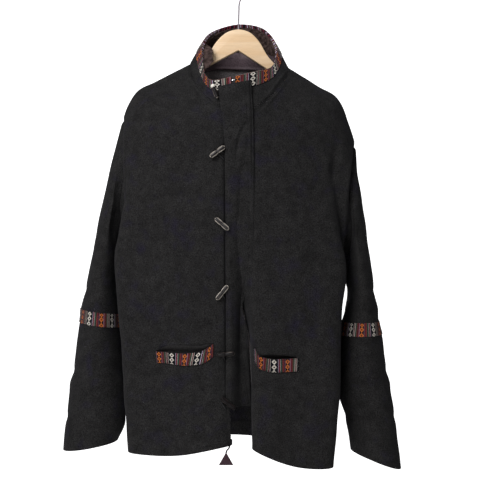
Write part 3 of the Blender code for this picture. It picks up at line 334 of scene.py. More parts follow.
BACK_CREASES = [
    (-2.2, 12, [(-70, -215), (-20, -226), (40, -222), (78, -230)]),
    (1.6, 14, [(-76, -244), (-18, -252), (50, -250)]),
    (2.6, 26, [(-96, -300), (-104, -460), (-96, -640)]),
    (-2.4, 16, [(-62, -330), (-66, -470), (-58, -620)]),
    (2.4, 24, [(84, -320), (92, -480), (84, -650)]),
    (-2.4, 15, [(50, -360), (54, -500), (46, -640)]),
    (-2.0, 11, [(-170, -300), (-130, -360), (-104, -430)]),
    (-2.0, 11, [(160, -320), (124, -376), (98, -450)]),
    (-1.8, 13, [(-140, -620), (-150, -740), (-142, -860)]),
    (1.8, 16, [(-100, -700), (-96, -800), (-106, -880)]),
    (-1.8, 13, [(120, -640), (132, -760), (122, -880)]),
    (1.8, 15, [(12, -700), (20, -800), (8, -885)]),
    (-2.4, 9, [(-300, -598), (-276, -616), (-244, -612)]),
    (2.0, 10, [(-302, -624), (-276, -642), (-240, -636)]),
    (-2.0, 9, [(-322, -760), (-292, -776), (-246, -766)]),
    (-1.8, 9, [(-330, -840), (-300, -856), (-250, -848)]),
    (2.0, 13, [(-256, -420), (-268, -500), (-280, -580)]),
    (-2.4, 9, [(276, -640), (252, -654), (216, -648)]),
    (2.0, 10, [(278, -618), (254, -628), (216, -622)]),
    (-2.0, 9, [(296, -788), (268, -802), (220, -790)]),
    (-1.8, 9, [(308, -868), (276, -880), (232, -866)]),
    (2.0, 13, [(240, -440), (248, -520), (262, -600)]),
]
SIDE_CREASES = [
    (-2.2, 9, [(-40, -590), (0, -606), (44, -600)]),
    (2.2, 12, [(-44, -622), (4, -640), (46, -632)]),
    (-2.2, 9, [(-36, -742), (4, -760), (48, -748)]),
    (2.0, 11, [(-32, -770), (8, -786), (46, -778)]),
    (-2.0, 9, [(-34, -836), (6, -850), (44, -838)]),
    (-2.2, 14, [(-30, -420), (-20, -500), (-26, -570)]),
    (2.2, 15, [(12, -430), (22, -510), (16, -580)]),
]
# Sharp lines beside seams and edges, seen from the front, as above.
SEAM_CREASES = [
    (1.5, 2.4, [(30, -262), (48, -243), (64, -222), (80, -198), (94, -178)]),
    (-1.3, 2.4, [(34, -267), (52, -248), (68, -227), (84, -203), (98, -183)]),
    (1.4, 2.4, [(38, -271), (56, -252), (72, -231), (88, -207), (102, -187)]),
    (-1.8, 2.0, [(-94, -183), (-76, -206), (-59, -227), (-40, -245)]),
    (1.3, 2.2, [(-98, -188), (-80, -211), (-63, -232), (-44, -250)]),
    (-1.5, 2.0, [(-103, -193), (-84, -216), (-67, -238), (-46, -257)]),
    (-5.0, 3.2, [(-40, -224), (-34, -245), (-31, -264), (-27, -286), (-24, -330), (-23, -400),
                 (-22, -480), (-21.5, -560), (-21.5, -640), (-21, -720), (-21, -806)]),
    (3.0, 7, [(33, -420), (32, -560), (32, -700), (34, -860)]),
]
# The flap's own.
FLAP_CREASES = [
    (-3.4, 3.2, [(20, -284), (6, -307), (-1, -332), (-4, -362)]),
    (2.4, 5, [(24, -298), (13, -316), (7, -342), (5, -372)]),
    (2.0, 5, [(-16, -400), (-16, -500), (-14, -620), (-13, -720), (-13, -830)]),
    (-13.0, 12, [(11, -370), (10, -440), (8, -540), (8, -620), (8, -760), (8, -870)]),
    (-6.0, 8, [(16, -370), (16, -470), (16, -620), (16, -700), (17, -790), (17, -860)]),
    (-1.0, 9, [(-12, -470), (4, -490), (14, -500)]),
    (-1.2, 8, [(-14, -600), (2, -588), (12, -580)]),
    (0.9, 9, [(-6, -400), (-4, -440), (-8, -470)]),
    (1.2, 9, [(-4, -640), (0, -700), (-4, -760)]),
]
SEAM_DIP = 2.2  # how far the cloth sinks at the armholes, and over what width
SEAM_SOFT = 4.5
SLEEVE_SINK = 13.0  # how far the sleeve's front lies behind the body's below the shoulder
SLEEVE_REACH = 30.0
SINK_BELOW = (-250.0, 110.0)
CREASE_FADE = 0.7  # below 1 a crease stays deep nearly to its ends
FACING_RISES = 1.6  # how fast creases come in where the cloth turns to the front
# Slow unevenness of the hanging cloth: height and the wave's turns per metre along each axis.
SWELLS = [
    (0.8, (3.1, 2.2, 1.3), 0.4), (0.7, (-2.3, 3.4, 2.9), 1.7), (0.5, (6.1, -4.4, 3.7), 2.9),
    (0.4, (-7.9, 5.2, 6.6), 0.9), (0.25, (13.3, 9.1, -11.7), 2.2), (0.2, (-17.2, 12.4, 15.1), 4.1),
]
# Where things lie on the cloth, it is kept as smooth as the solids: lowest and highest (x, z).
QUIET_PLACES = [
    ((-60, -860), (34, -180)), ((-160, -760), (-38, -680)), ((22, -770), (120, -690)),
]
QUIET_EDGE = 30.0
SMOOTH_ABOVE = -150.0

# Stitches, in millimetres.
STITCH_PROFILE = [(1.7, 0), (1.45, 0.165), (0.85, 0.275)]  # half its section, as (along, radius)
STITCH_DIP = 0.3
STITCH_PITCH = 4.6

# Woven bands: the length of cloth that repeats, and the place of one orange figure on each.
REPEAT = 50.0
ORANGE_AT = {
    "collar": -0.8, "sleeve_left": -258.7, "sleeve_right": 234.0,
    "pocket_left": -99.0, "pocket_right": 89.8,
}
POCKET_REPEAT = {"left": 47.6, "right": 51.0}
COLLAR_REPEAT = 64.0
YARN = 0.75  # real yarn is about 0.4, which would not show
# Stripes across the woven band by their end, in millimetres along one repeat, from one orange
# figure to the next.
BAND_STRIPES = [
    (4.4, "#1E131A"), (5.2, "#8F6470"), (6.3, "#1E1318"), (7.8, "#6E2530"), (9.0, "#1B1418"),
    (9.8, "#8A4B3E"), (10.8, "#17141A"), (12.3, "#33493D"), (13.3, "#17141A"), (14.1, "#A69F96"),
    (15.1, "#15131A"), (16.2, "#772939"), (17.1, "#141217"), (17.9, "#BDB6AD"), (32.2, "#111015"),
    (33.0, "#A99FB2"), (33.9, "#141217"), (35.0, "#772939"), (36.0, "#15131A"), (36.8, "#A69F96"),
    (37.8, "#17141A"), (39.3, "#354C40"), (40.3, "#17141A"), (41.1, "#8A4B3E"), (42.3, "#1B1418"),
    (43.8, "#6E2530"), (44.8, "#1E1318"), (45.6, "#8F6470"), (50.0, "#1E131A"),
]
# Stepped diamonds by their middle, half width and two colours, one above another.
BAND_FIGURES = [(0.0, 4.2, "#BC6A30", "#5E241F"), (REPEAT / 2, 4.6, "#D2CBC1", "#17151A")]
FIGURE_HEIGHT = 9.4
FIGURE_HEART = 0.46  # the inner colour's share of a diamond

# Fleece in the collar: its folds as height, place and radii, the way in which they stand up, and the
# lumps of its pile as their share and how many there are to a millimetre.
FLEECE_RISES = (0.15, 0.93)
FLEECE_FOLDS = [(19.0, (-66, -16, -143), (24, 15, 26)), (16.0, (-68, -28, -167), (20, 14, 13))]
FOLD_WAY = (0.95, -0.28, 0.12)
PILE_LUMPS = ((1.0, 0.30), (0.7, 0.75))

# Lining and neck facing, by places in the tables, and the facing's rolled hem as its fullness and its
# middle and half width down the length.
LINING_COLUMNS = (2.4, 11.5)
FACING = 1.4
FACING_CLEAR = 2.2
FACING_TOP = 0.17
FACING_LEVEL = 1.05
FACING_ROUNDING = 0.3
FACING_TINT = (0.4, 0.31, 0.35)
ROLL = (2.2, 0.93, 0.06)

# Bands on the cloth. The collar's band goes over the top edge and down inside.
GAP = 0.3
BAND_ROUNDING = 0.4
BAND_TURN_IN = 4  # rows of the fine grid that it covers inside
BAND_EDGE = 0.6  # how far it goes round the edge's corners before it turns, by its distance
BAND_OVER = 3  # rows on the edge itself
RIM_STRIPES = (32.2, 5.6)  # the stripes that show from there on, by their start and length
POCKET_BAND_STEPS = (17, 85)
BAND_CLEAR = 0.8
BAND_CROWN = 0.5

# Pocket bags.
MOUTH_STEPS = 29
BAG_STEPS = 41
BAG_LIP_STEPS = 15
BAG_DEPTH = 14.0
BAG_HEIGHT = 125.0
BAG_ABOVE = 9.0
BAG_CLEAR = 0.9
BAG_ROUND = 0.6  # below 1 a bag fills out more squarely
BAG_TINT = 0.12

# Toggles: half sections as (along, radius). The first toggle ends in a ball and is ribbed behind it.
TOGGLE_LENGTH = 34.0
TOGGLE_SIDES = 36
PROFILE_STEPS = 121
TOGGLE_PROFILE = [
    (0, 3.5), (1.5, 3.6), (3.0, 4.1), (7, 4.3), (12, 4.1), (15, 3.7), (16.6, 2.6), (17, 0),
]
BALL_PROFILE = [
    (-17, 0), (-16.4, 2.2), (-14.6, 3.8), (-12.6, 4.3), (-10.6, 3.8), (-8.8, 2.4), (-7.6, 2.7),
    (-6.2, 4.2), (2, 4.6), (10, 4.2), (14.5, 3.2), (16.4, 2.0), (17, 0),
]
END_POWER = 12  # the higher, the flatter a toggle's ends
RIBS_AT = (-7.0, 14.0)
RIB_PITCH = 4.8
RIB_DEPTH = 0.8
RIB_SOFT = 2.0
TOGGLE_SPACING = 41.0  # parts the toggles' places in the horn's grain
TOGGLE_HIGHLIGHT_AT = 12.4  # how far from a toggle's middle its ends grow pale, a painted highlight
BALL_BELOW = TOGGLE_SPACING - 9.0  # only the first toggle reaches below this, with its ball end

# Hanger and hook. The hook's wire goes up by (x, height above the dome), and then by degrees round
# its circle.
HANGER_ROUNDING = 1.8
HANGER_STEPS = 5
HOOK_STEPS = 150
HOOK_NECK = [(0, -10.0), (0, 10), (0.6, 35), (1.6, 51), (3.4, 57.5), (6.9, 61.3)]
HOOK_TURNS = range(-50, 196, 15)
PLATED_WIRE = ("plated_wire", "#8B868C", 0.35)

# Zip: lengths from its lower end, and the slider's blocks as size, rounding and place about its
# middle. A metal is a name, a colour and a roughness.
ZIP_ENDS_ABOVE = 14.0
TAPE_REACH = (-0.2, 1.0, 3.5, 7.0, 10.4)
STOPS_BELOW = 4.0
TEETH_BELOW = 7.0
TEETH_OUT = 0.6
TOOTH = (1.5, 3.2, 1.5)
STOP = (3.6, 4.2, 2.4)
SLIDER_BLOCKS = [
    ((7.6, 1.2, 10.6), 0.55, (0, -1.6, 0)), ((7.6, 1.2, 10.6), 0.55, (0, 1.6, 0)),
    ((2.2, 4.0, 3.0), 0.5, (0, 0, 3.6)), ((2.4, 1.2, 7.6), 0.5, (0, -2.0, 0.4)),
]
ZIP_METAL = ("nickel_zip", "#3C3B3F", 0.4)
STOP_METAL = ("bright_stop", "#D9D9DB", 0.3)
PULL_STEPS = 25

# Rows of stitches, by their distance from an edge, and the cloth beside them.
FLAP_STITCHES = (3.4, 11.4)
FLAP_GROOVES = (1.0, 0.5)
FLAP_GROOVE_WIDTH = 1.2
FLAP_RIDGE = (0.9, 2.4)  # height and half width of the cloth between the two rows
FLAP_STITCH_SINK = 0.35
NECK_STITCHES = (2.2, 8.0)
HEM_STITCH = 30.0
HEM_TURN = 2.0
HEM_STEP = 3.0
HEM_GROOVE = (0.8, 1.4)  # depth and half width
INNER_HEM_STITCHES = (14.0, 24.0)
INNER_STITCH_SINK = 0.6
BAND_STITCHES = (0.07, 0.93)
BAND_STITCH_STEPS = 60
STITCH_CLEAR = 0.1
HEMMED = ("front_left", "front_right", "back")

# Stage: the floor, the lights as name, place, target, size and power, and the camera, in metres.
FLOOR_HALF = 1.4
FLOOR_AT = (0.0, 0.0, -1.7)
LIGHTS = [
    ("key", (-1.1, -1.72, 1.08), (0.0, 0.0, -0.45), 1.4, 65.0),
    ("fill", (2.32, -1.08, 0.0), (0.0, 0.0, -0.55), 1.6, 5.0),
    ("low", (-0.6, -2.0, -1.45), (0.0, 0.0, -0.85), 0.9, 15.0),
]
WORLD_LIGHT = 0.17
BACKDROP_HALF = 1.4
BACKDROP_AT = (0.0, 2.8, -0.515)
CAMERA_LENS = 75.35
CAMERA_AT = (0.0127, -2.0, -0.515)


def refine(at, steps, first=0, last=0):
    """Places with `steps` even steps between neighbours, or as many as asked for at the ends."""
    count = len(at)
    fine = np.interp(np.arange((count - 1) * steps + 1) / steps, np.arange(count), at)
    if first:
        fine = np.concatenate([np.linspace(at[0], at[1], first + 1), fine[steps + 1 :]])
    if last:
        fine = np.concatenate([fine[: -steps - 1], np.linspace(at[-2], at[-1], last + 1)])
    return fine


LEVELS = refine(LEVELS_AT, LEVEL_STEPS, 0, HEM_STEPS)
COLUMNS_LEFT = refine(LEFT_AT, COLUMN_STEPS, SEAM_STEPS)
COLUMNS_RIGHT = refine(RIGHT_AT, COLUMN_STEPS, SEAM_STEPS)
NAPE_PLACES = refine(NAPE_AT, COLUMN_STEPS)
BACK_PLACES = np.concatenate(
    [NECK_LEFT - COLUMNS_LEFT[:0:-1], NAPE_PLACES, NECK_RIGHT + COLUMNS_RIGHT[1:]]
)
RISES = refine(COLLAR_RISE_AT, RISE_STEPS, SEAM_STEPS)
RINGS = refine(RINGS_AT, RING_STEPS)
NECK_ROW = LEVELS_AT.index(NECK_LEVELS) * LEVEL_STEPS


class CoatSizes(bpy.types.PropertyGroup):
    """Sizes of the coat's cloth and sewing."""

    wool: FloatProperty(
        name="Wool", description="Thickness of the wool cloth", default=0.003, min=0.001, unit="LENGTH"
    )
    edge: FloatProperty(
        name="Edge", description="Rounding of the wool's cut edges", default=0.0012, unit="LENGTH"
    )
    crease: FloatProperty(
        name="Creases", description="Strength of the creases, 1 as in the tables", default=1.0, min=0.0
    )
    pile: FloatProperty(
        name="Pile", description="Unevenness of the fleece's pile", default=0.0024, unit="LENGTH"
    )
    tooth: FloatProperty(
        name="Zip Pitch", description="Distance between two teeth", default=0.0028, unit="LENGTH"
    )


class CoatColours(bpy.types.PropertyGroup):
    """Colours of the coat and its hanger, as linear light."""

    wool: FloatVectorProperty(
        name="Wool", description="Black wool", subtype="COLOR", default=(0.0134, 0.0130, 0.0131),
        min=0.0, max=1.0,
    )
    fleece: FloatVectorProperty(
        name="Fleece", description="Dark brown pile", subtype="COLOR", default=(0.042, 0.028, 0.026),
        min=0.0, max=1.0,
    )
    lining: FloatVectorProperty(
        name="Lining", description="Grey lining", subtype="COLOR", default=(0.25, 0.23, 0.238),
        min=0.0, max=1.0,
    )
    beech: FloatVectorProperty(
        name="Beech", description="Lacquered wood of the hanger", subtype="COLOR",
        default=(0.77, 0.57, 0.37), min=0.0, max=1.0,
    )


def table(rows, columns):
    """A table of rows as one array for each named column."""
    return dict(zip(columns, np.array(rows, float).T))


def places(columns, name):
    """The columns of a named place side by side, as rows of points."""
    found = [columns[name + axis] for axis in ("_x", "_y", "_z") if name + axis in columns]
    return np.stack(found, axis=-1)


def spline(points, knots, at, start=None, end=None):
    """Points on a smooth curve through `points`, which stand at `knots`. `at` counts points."""
    points = np.asarray(points, float)
    at = np.asarray(at, float)
    steps = np.diff(np.asarray(knots, float))
    shape = (-1,) + (1,) * (points.ndim - 1)
    slopes = np.diff(points, axis=0) / steps.reshape(shape)
    tangents = np.empty_like(points)
    tangents[0], tangents[-1] = slopes[0], slopes[-1]
    if len(points) > 2:
        before, after = steps[:-1].reshape(shape), steps[1:].reshape(shape)
        tangents[1:-1] = (slopes[:-1] * after + slopes[1:] * before) / (before + after)
    if start is not None:
        tangents[0] = start
    if end is not None:
        tangents[-1] = end
    index = np.clip(np.floor(at).astype(int), 0, len(points) - 2)
    t = (at - index).reshape(shape)
    length = steps[index].reshape(shape)
    a, b = points[index], points[index + 1]
    ta, tb = tangents[index] * length, tangents[index + 1] * length
    return (
        (2 * t**3 - 3 * t**2 + 1) * a
        + (t**3 - 2 * t**2 + t) * ta
        + (3 * t**2 - 2 * t**3) * b
        + (t**3 - t**2) * tb
    )


def lengths_along(points):
    """Distance of each point along the line through them all, from the first."""
    steps = np.linalg.norm(np.diff(points, axis=0), axis=1)
    return np.concatenate([[0.0], np.cumsum(np.maximum(steps, 1e-3))])


def curve(points, at):
    """Points on a smooth curve through `points`, with knots at their distances."""
    return spline(points, lengths_along(np.asarray(points, float)), at)


def evenly(points, at, start=None, end=None):
    """The same, with knots one apart, so that neighbouring curves keep in step."""
    return spline(points, np.arange(len(points)), at, start, end)


def drawn(points, count):
    """`count` points of the smooth curve through a few, evenly between these."""
    return evenly(points, np.linspace(0, len(points) - 1, count))


def neck_seam(at):
    """Points of the seam between collar and body, by place in the collar's table."""
    rows = table(COLLAR, COLLAR_COLUMNS)
    return evenly(places(rows, "base"), at)


def side_line(rows, at, back=False):
    """Points of the armhole seam from the shoulder to the underarm, then of the side seam."""
    columns = table(rows, FRONT_COLUMNS)
    points = places(columns, "seam")
    hole = points[: UNDERARM + 1].copy()
    if back:
        hole[1:UNDERARM, 1] = 2 * ARM_MIDDLE - hole[1:UNDERARM, 1]
    way = 1 if back else -1
    leave = np.array(HOLE_LEAVES) * (1, way, 1)
    arrive = np.array(HOLE_ARRIVES) * (1, way, 1)
    above = evenly(hole, np.minimum(at, UNDERARM), leave, arrive)
    below = evenly(points[UNDERARM:], np.maximum(at - UNDERARM, 0))
    return np.where((at <= UNDERARM)[:, None], above, below)


def guides(rows, side):
    """Guide points of a front at each level: edge, turn, face, ridge, beside it, and seam."""
    c = table(rows, FRONT_COLUMNS)
    edge = places(c, "edge")
    ridge = places(c, "ridge")
    seam = places(c, "seam")
    share = (c["turn_x"] - c["edge_x"]) / (c["ridge_x"] - c["edge_x"])
    turn_z = edge[:, 2] + (ridge[:, 2] - edge[:, 2]) * np.clip(share, 0, 1)
    turn = np.stack([c["turn_x"], c["turn_y"], turn_z], axis=-1)
    face = turn * FACE_SHARES[0] + ridge * FACE_SHARES[1]
    face[:, 1] -= c["belly"]
    face[:, 2] -= c["drop"]
    beside = (ridge + seam) / 2
    beside[:, 0] -= side * c["hollow"]
    return np.stack([edge, turn, face, ridge, beside, seam], axis=1)


def front_grid(rows, columns_at, side):
    """Outer points of one front, level by level, from the front edge to the side."""
    levels = guides(rows, side)
    start = (levels[1] - levels[0]) * np.array(FRONT_START)
    wide = spline(levels, np.arange(len(levels)), LEVELS, start)
    grid = np.array([curve(row, columns_at) for row in wide])
    neck = LEVELS <= NECK_LEVELS
    place = SIDE_LEFT - LEVELS[neck] if side < 0 else SIDE_RIGHT + LEVELS[neck]
    grid[neck, 0] = neck_seam(place)
    grid[:, -1] = side_line(rows, LEVELS)
    return grid


def half_of_back(seam, ridge, hollow, middle, side):
    """Guide points of half the back at one level, from its side seam to near its middle."""
    points = [seam, (seam + ridge) / 2 - np.array([side * hollow, 0, 0]), ridge]
    for reach in BACK_REACH:
        share = np.array([reach**power for power in BACK_POWERS])
        points.append(middle + (ridge - middle) * share)
    return points


def back_grid():
    """Outer points of the back, level by level, from the left side to the right one."""
    b = table(BACK, BACK_COLUMNS)
    last = len(FRONT_LEFT)
    knots = np.array([0] + list(range(BACK_FIRST, last)), float)
    levels = []
    for i, level in enumerate(range(BACK_FIRST, last)):
        middle = np.array([BACK_MIDDLE, b["middle_y"][i], b["middle_z"][i]])
        halves = []
        for rows, x, side in ((FRONT_LEFT, "left_x", -1), (FRONT_RIGHT, "right_x", 1)):
            front = table(rows, FRONT_COLUMNS)
            seam = side_line(rows, np.array([float(level)]), True)[0]
            ridge = np.array([b[x][i], b["ridge_y"][i], front["ridge_z"][level]])
            halves.append(half_of_back(seam, ridge, front["hollow"][level], middle, side))
        levels.append(np.array(halves[0] + [middle] + halves[1][::-1]))
    shoulder_left = guides(FRONT_LEFT, -1)[0]
    shoulder_right = guides(FRONT_RIGHT, 1)[0]
    nape = neck_seam(np.array([SIDE_LEFT + 1, NAPE, NAPE + 1], float))
    top = np.concatenate([shoulder_left[::-1], nape, shoulder_right])
    fall = np.full(len(top), SHOULDER_FALL)
    fall[NECK_LEFT : NECK_RIGHT + 1] = NECK_FALL
    start = (levels[0] - top) / BACK_FIRST * BACK_START
    start[:, 2] *= fall
    at = np.interp(LEVELS, knots, np.arange(len(knots)))
    wide = spline(np.array([top] + levels), knots, at, start)
    grid = np.array([curve(row, BACK_PLACES) for row in wide])
    grid[:, 0] = side_line(FRONT_LEFT, LEVELS, True)
    grid[:, -1] = side_line(FRONT_RIGHT, LEVELS, True)
    over_left = BACK_PLACES <= NECK_LEFT
    over_right = BACK_PLACES >= NECK_RIGHT
    between = ~(over_left | over_right)
    grid[0, over_left] = curve(shoulder_left, NECK_LEFT - BACK_PLACES[over_left])
    grid[0, over_right] = curve(shoulder_right, BACK_PLACES[over_right] - NECK_RIGHT)
    grid[0, between] = neck_seam(BACK_PLACES[between] - NECK_STEP)
    return grid


def sleeve_grid(front_rows, rings):
    """Outer points of one sleeve: rings from the armhole to the cuff, each a closed loop."""
    at = LEVELS[LEVELS <= UNDERARM]
    ahead = side_line(front_rows, at)
    behind = side_line(front_rows, at, True)[1:-1][::-1]
    first = np.concatenate([ahead, behind])
    turn = np.arange(len(first)) / len(first) * 2 * math.pi
    across = (1 + np.cos(turn)) / 2
    loops = [first]
    for out_x, out_z, in_x, in_z, middle_y, deep in rings:
        x = in_x + (out_x - in_x) * across
        z = in_z + (out_z - in_z) * across
        y = middle_y - deep * np.sin(turn)
        loops.append(np.stack([x, y, z], axis=-1))
    grid = spline(np.array(loops), np.arange(len(loops)), RINGS)
    grid[0] = first
    return grid


def collar_grid():
    """Outer points of the collar, from its seam up to its top edge, round from centre front."""
    c = table(COLLAR, COLLAR_COLUMNS)
    neck = LEVELS[LEVELS <= NECK_LEVELS]
    nape = NAPE_PLACES[1:-1] - NECK_STEP
    at = np.concatenate([SIDE_LEFT - neck[::-1], nape, SIDE_RIGHT + neck])
    base = evenly(places(c, "base"), at)
    top = evenly(places(c, "top"), at)
    centre = (base.mean(axis=0) + top.mean(axis=0)) / 2
    rows = []
    for rise in RISES:
        row = base + (top - base) * rise
        outward = (row - centre) * np.array([1, 1, 0])
        outward /= np.linalg.norm(outward, axis=1)[:, None]
        rows.append(row + outward * COLLAR_BULGE * rise * (1 - rise))
    return np.array(rows)


def flap_grid():
    """Outer points of the flap, from its top down, from its free edge to its sewn one."""
    c = table(FLAP, FLAP_COLUMNS)
    across = np.linspace(0, 1, FLAP_COLUMNS_FINE)
    free = drawn(places(c, "free"), FLAP_ROWS)
    sewn = drawn(places(c, "sewn"), FLAP_ROWS)
    bow, swing = drawn(np.stack([c["bow"], c["swing"]], axis=-1), FLAP_ROWS).T
    rows = []
    for a, b, forward, turn in zip(free, sewn, bow, swing):
        wide = b[0] - a[0]
        lean = (b[1] - a[1]) * np.clip(1 - turn / FLAP_TURNED, 0, 1)
        leave = np.array([wide, lean - BOW_PULL * forward, b[2] - a[2]])
        arrive = np.array([wide - turn, lean + BOW_PULL * forward + turn, b[2] - a[2]])
        rows.append(spline(np.array([a, b]), np.arange(2), across, leave, arrive))
    return np.array(rows)


def normals(grid, around, outward):
    """Unit normals of a grid, turned to the side of `outward`, a point outside its middle."""
    down = np.gradient(grid, axis=0)
    if around:
        across = (np.roll(grid, -1, axis=1) - np.roll(grid, 1, axis=1)) / 2
    else:
        across = np.gradient(grid, axis=1)
    found = np.cross(down, across)
    found /= np.maximum(np.linalg.norm(found, axis=2), 1e-9)[:, :, None]
    middle = (grid.shape[0] // 2, grid.shape[1] // 2)
    if np.dot(found[middle], np.array(outward, float) - grid[middle]) < 0:
        found = -found
    return found


@functools.lru_cache(maxsize=1)
def flap_cloth():
    """The flap's outer points and their normals."""
    grid = flap_grid()
    return grid, normals(grid, False, (0, -400, -500))


def border(panel):
    """Row and column of each point on a panel's border."""
    rows, columns = panel["grid"].shape[:2]
    ends = [(row, column) for row in (0, rows - 1) for column in range(columns)]
    sides = [(row, column) for column in (0, columns - 1) for row in range(1, rows - 1)]
    return ends if panel["around"] else ends + sides


def inward_steps(panel, place):
    """The steps that lead inwards from one border point."""
    last_row, last_column = np.subtract(panel["grid"].shape[:2], 1)
    steps = [(way, 0) for row, way in ((0, 1), (last_row, -1)) if place[0] == row]
    if not panel["around"]:
        steps += [(0, way) for column, way in ((0, 1), (last_column, -1)) if place[1] == column]
    return steps


def away_from_border(panel, place, inner):
    """Unit vector from a border point into its panel, square to the border."""
    grid = panel["grid"]
    on_row = inner[0] != place[0]
    line, at = (grid[place[0]], place[1]) if on_row else (grid[:, place[1]], place[0])
    mode = "wrap" if panel["around"] else "clip"
    before, after = np.take(line, (at - 1, at + 1), axis=0, mode=mode)
    along = (after - before) / np.linalg.norm(after - before)
    toward = grid[inner] - grid[place]
    toward -= along * np.dot(toward, along)
    return toward / np.linalg.norm(toward)


def sew(panels):
    """Gives points that panels share one normal, and parts the panels there by the seam gap."""
    members = [(name, place) for name, panel in panels.items() for place in border(panel)]
    tree = KDTree(len(members))
    for number, (name, place) in enumerate(members):
        tree.insert(panels[name]["grid"][place], number)
    tree.balance()
    facing = {}
    for name, place in members:
        near = tree.find_range(panels[name]["grid"][place], SAME_POINT)
        if len(near) > 1:
            common = sum(panels[members[n][0]]["normals"][members[n][1]] for _, n, _ in near)
            facing[name, place] = common / np.linalg.norm(common)
    for panel in panels.values():
        panel["shift"] = np.zeros_like(panel["grid"])
        panel["sewn"] = np.zeros(panel["grid"].shape[:2], bool)
    for (name, place), common in facing.items():
        panel = panels[name]
        panel["normals"][place] = common
        panel["sewn"][place] = True
        inner = [(place[0] + row, place[1] + column) for row, column in inward_steps(panel, place)]
        for number, point in enumerate(inner):
            # At a corner, a seam runs along this side only if the next point on it is sewn too.
            beside = inner[:number] + inner[number + 1 :]
            if all((name, other) in facing for other in beside):
                panel["shift"][place] += away_from_border(panel, place, point) * SEAM_GAP / 2


def smooth_step(value):
    """0 to 1, with soft ends."""
    value = np.clip(value, 0.0, 1.0)
    return value * value * (3 - 2 * value)


def soft(distance, width):
    """1 on a line, falling softly to 0 on both sides."""
    return np.exp(-((distance / width) ** 2))


def distance_to_line(points, line):
    """Each point's distance to a line through a few places, and how far along it that is."""
    line = np.asarray(line, float)
    best = np.full(points.shape[:-1], np.inf)
    along = np.zeros(points.shape[:-1])
    lengths = lengths_along(line)
    for start, end, before, after in zip(line, line[1:], lengths, lengths[1:]):
        way = end - start
        share = np.clip(((points - start) @ way) / (way @ way), 0, 1)
        far = np.linalg.norm(points - start - share[..., None] * way, axis=-1)
        nearer = far < best
        best = np.where(nearer, far, best)
        along = np.where(nearer, (before + share * (after - before)) / lengths[-1], along)
    return best, along


def folds(points, facing, creases, axes, way):
    """Height of a table of creases on the cloth that faces `way`."""
    seen = points[..., axes]
    total = np.zeros(points.shape[:-1])
    for depth, width, line in creases:
        far, along = distance_to_line(seen, drawn(line, 4 * len(line)))
        fade = np.sin(np.pi * np.clip(along * 0.9 + 0.05, 0, 1)) ** CREASE_FADE
        total += depth * soft(far, width) * fade
    return total * smooth_step(facing @ np.array(way, float) * FACING_RISES)


def quiet(points):
    """1 on free cloth, falling to 0 where other pieces lie on its front."""
    calm = np.ones(points.shape[:-1])
    for (low_x, low_z), (high_x, high_z) in QUIET_PLACES:
        x, y, z = points[..., 0], points[..., 1], points[..., 2]
        out_x = np.maximum(low_x - x, x - high_x)
        out_z = np.maximum(low_z - z, z - high_z)
        away = np.maximum(np.maximum(out_x, out_z), 0.0)
        calm = np.minimum(calm, np.where(y < 0, smooth_step(away / QUIET_EDGE), 1.0))
    return calm


def relief(points, facing, sleeve):
    """How far the cloth stands out from its solid's form, in millimetres."""
    height = folds(points, facing, FRONT_CREASES, [0, 2], (0, -1, 0))
    height += folds(points, facing, BACK_CREASES, [0, 2], (0, 1, 0))
    height += folds(points, facing, SIDE_CREASES, [1, 2], (-1, 0, 0))
    height += folds(points, facing, SIDE_CREASES, [1, 2], (1, 0, 0))
    for tall, turns, phase in SWELLS:
        height += tall * np.sin(2 * math.pi * MM * (points @ np.array(turns)) + phase)
    height *= quiet(points)
    height *= smooth_step((SMOOTH_ABOVE - points[..., 2]) / QUIET_EDGE)
    height += folds(points, facing, SEAM_CREASES, [0, 2], (0, -1, 0))
    hole = np.linspace(0, UNDERARM, 50)
    reach = SLEEVE_REACH if sleeve else SEAM_SOFT
    low = smooth_step((SINK_BELOW[0] - points[..., 2]) / SINK_BELOW[1])
    low *= smooth_step(-facing[..., 1] * FACING_RISES)
    for rows in (FRONT_LEFT, FRONT_RIGHT):
        for back in (False, True):
            far, _ = distance_to_line(points, side_line(rows, hole, back))
            height -= SEAM_DIP * soft(far, SEAM_SOFT)
            height -= SLEEVE_SINK * low * soft(far, reach) * (not back)
    return height * bpy.context.scene.coat_sizes.crease


@functools.lru_cache(maxsize=1)
def coat_panels():
    """The panels' grids, normals, seam gaps and relief, by name."""
    panels = {
        "front_left": (front_grid(FRONT_LEFT, COLUMNS_LEFT, -1), False, (-120, -400, -500)),
        "front_right": (front_grid(FRONT_RIGHT, COLUMNS_RIGHT, 1), False, (120, -400, -500)),
        "back": (back_grid(), False, (0, 400, -500)),
        "sleeve_left": (sleeve_grid(FRONT_LEFT, SLEEVE_LEFT), True, None),
        "sleeve_right": (sleeve_grid(FRONT_RIGHT, SLEEVE_RIGHT), True, None),
        "collar": (collar_grid(), False, (0, 400, -80)),
    }
    for name, (grid, around, outward) in panels.items():
        if outward is None:
            middle = grid[grid.shape[0] // 2]
            point = middle[grid.shape[1] // 2]
            outward = point + (point - middle.mean(axis=0))
        panels[name] = {"grid": grid, "around": around, "normals": normals(grid, around, outward)}
    sew(panels)
    for panel in panels.values():
        panel["relief"] = relief(panel["grid"], panel["normals"], panel["around"])
    return panels


def layer(panel, outside, rows=slice(None), columns=slice(None)):
    """Points of part of a panel, moved out (or in, below zero) by `outside`."""
    out = (panel["relief"] + outside)[..., None] * panel["normals"]
    return (panel["grid"] + panel["shift"] + out)[rows, columns]


def lengths_on(grid):
    """Distance along and across a grid of points, for patterns that follow the cloth."""
    across = np.array([lengths_along(row) for row in grid])
    down = np.array([lengths_along(column) for column in grid.transpose(1, 0, 2)]).T
    return np.stack([across, down, np.zeros(across.shape)], axis=-1)


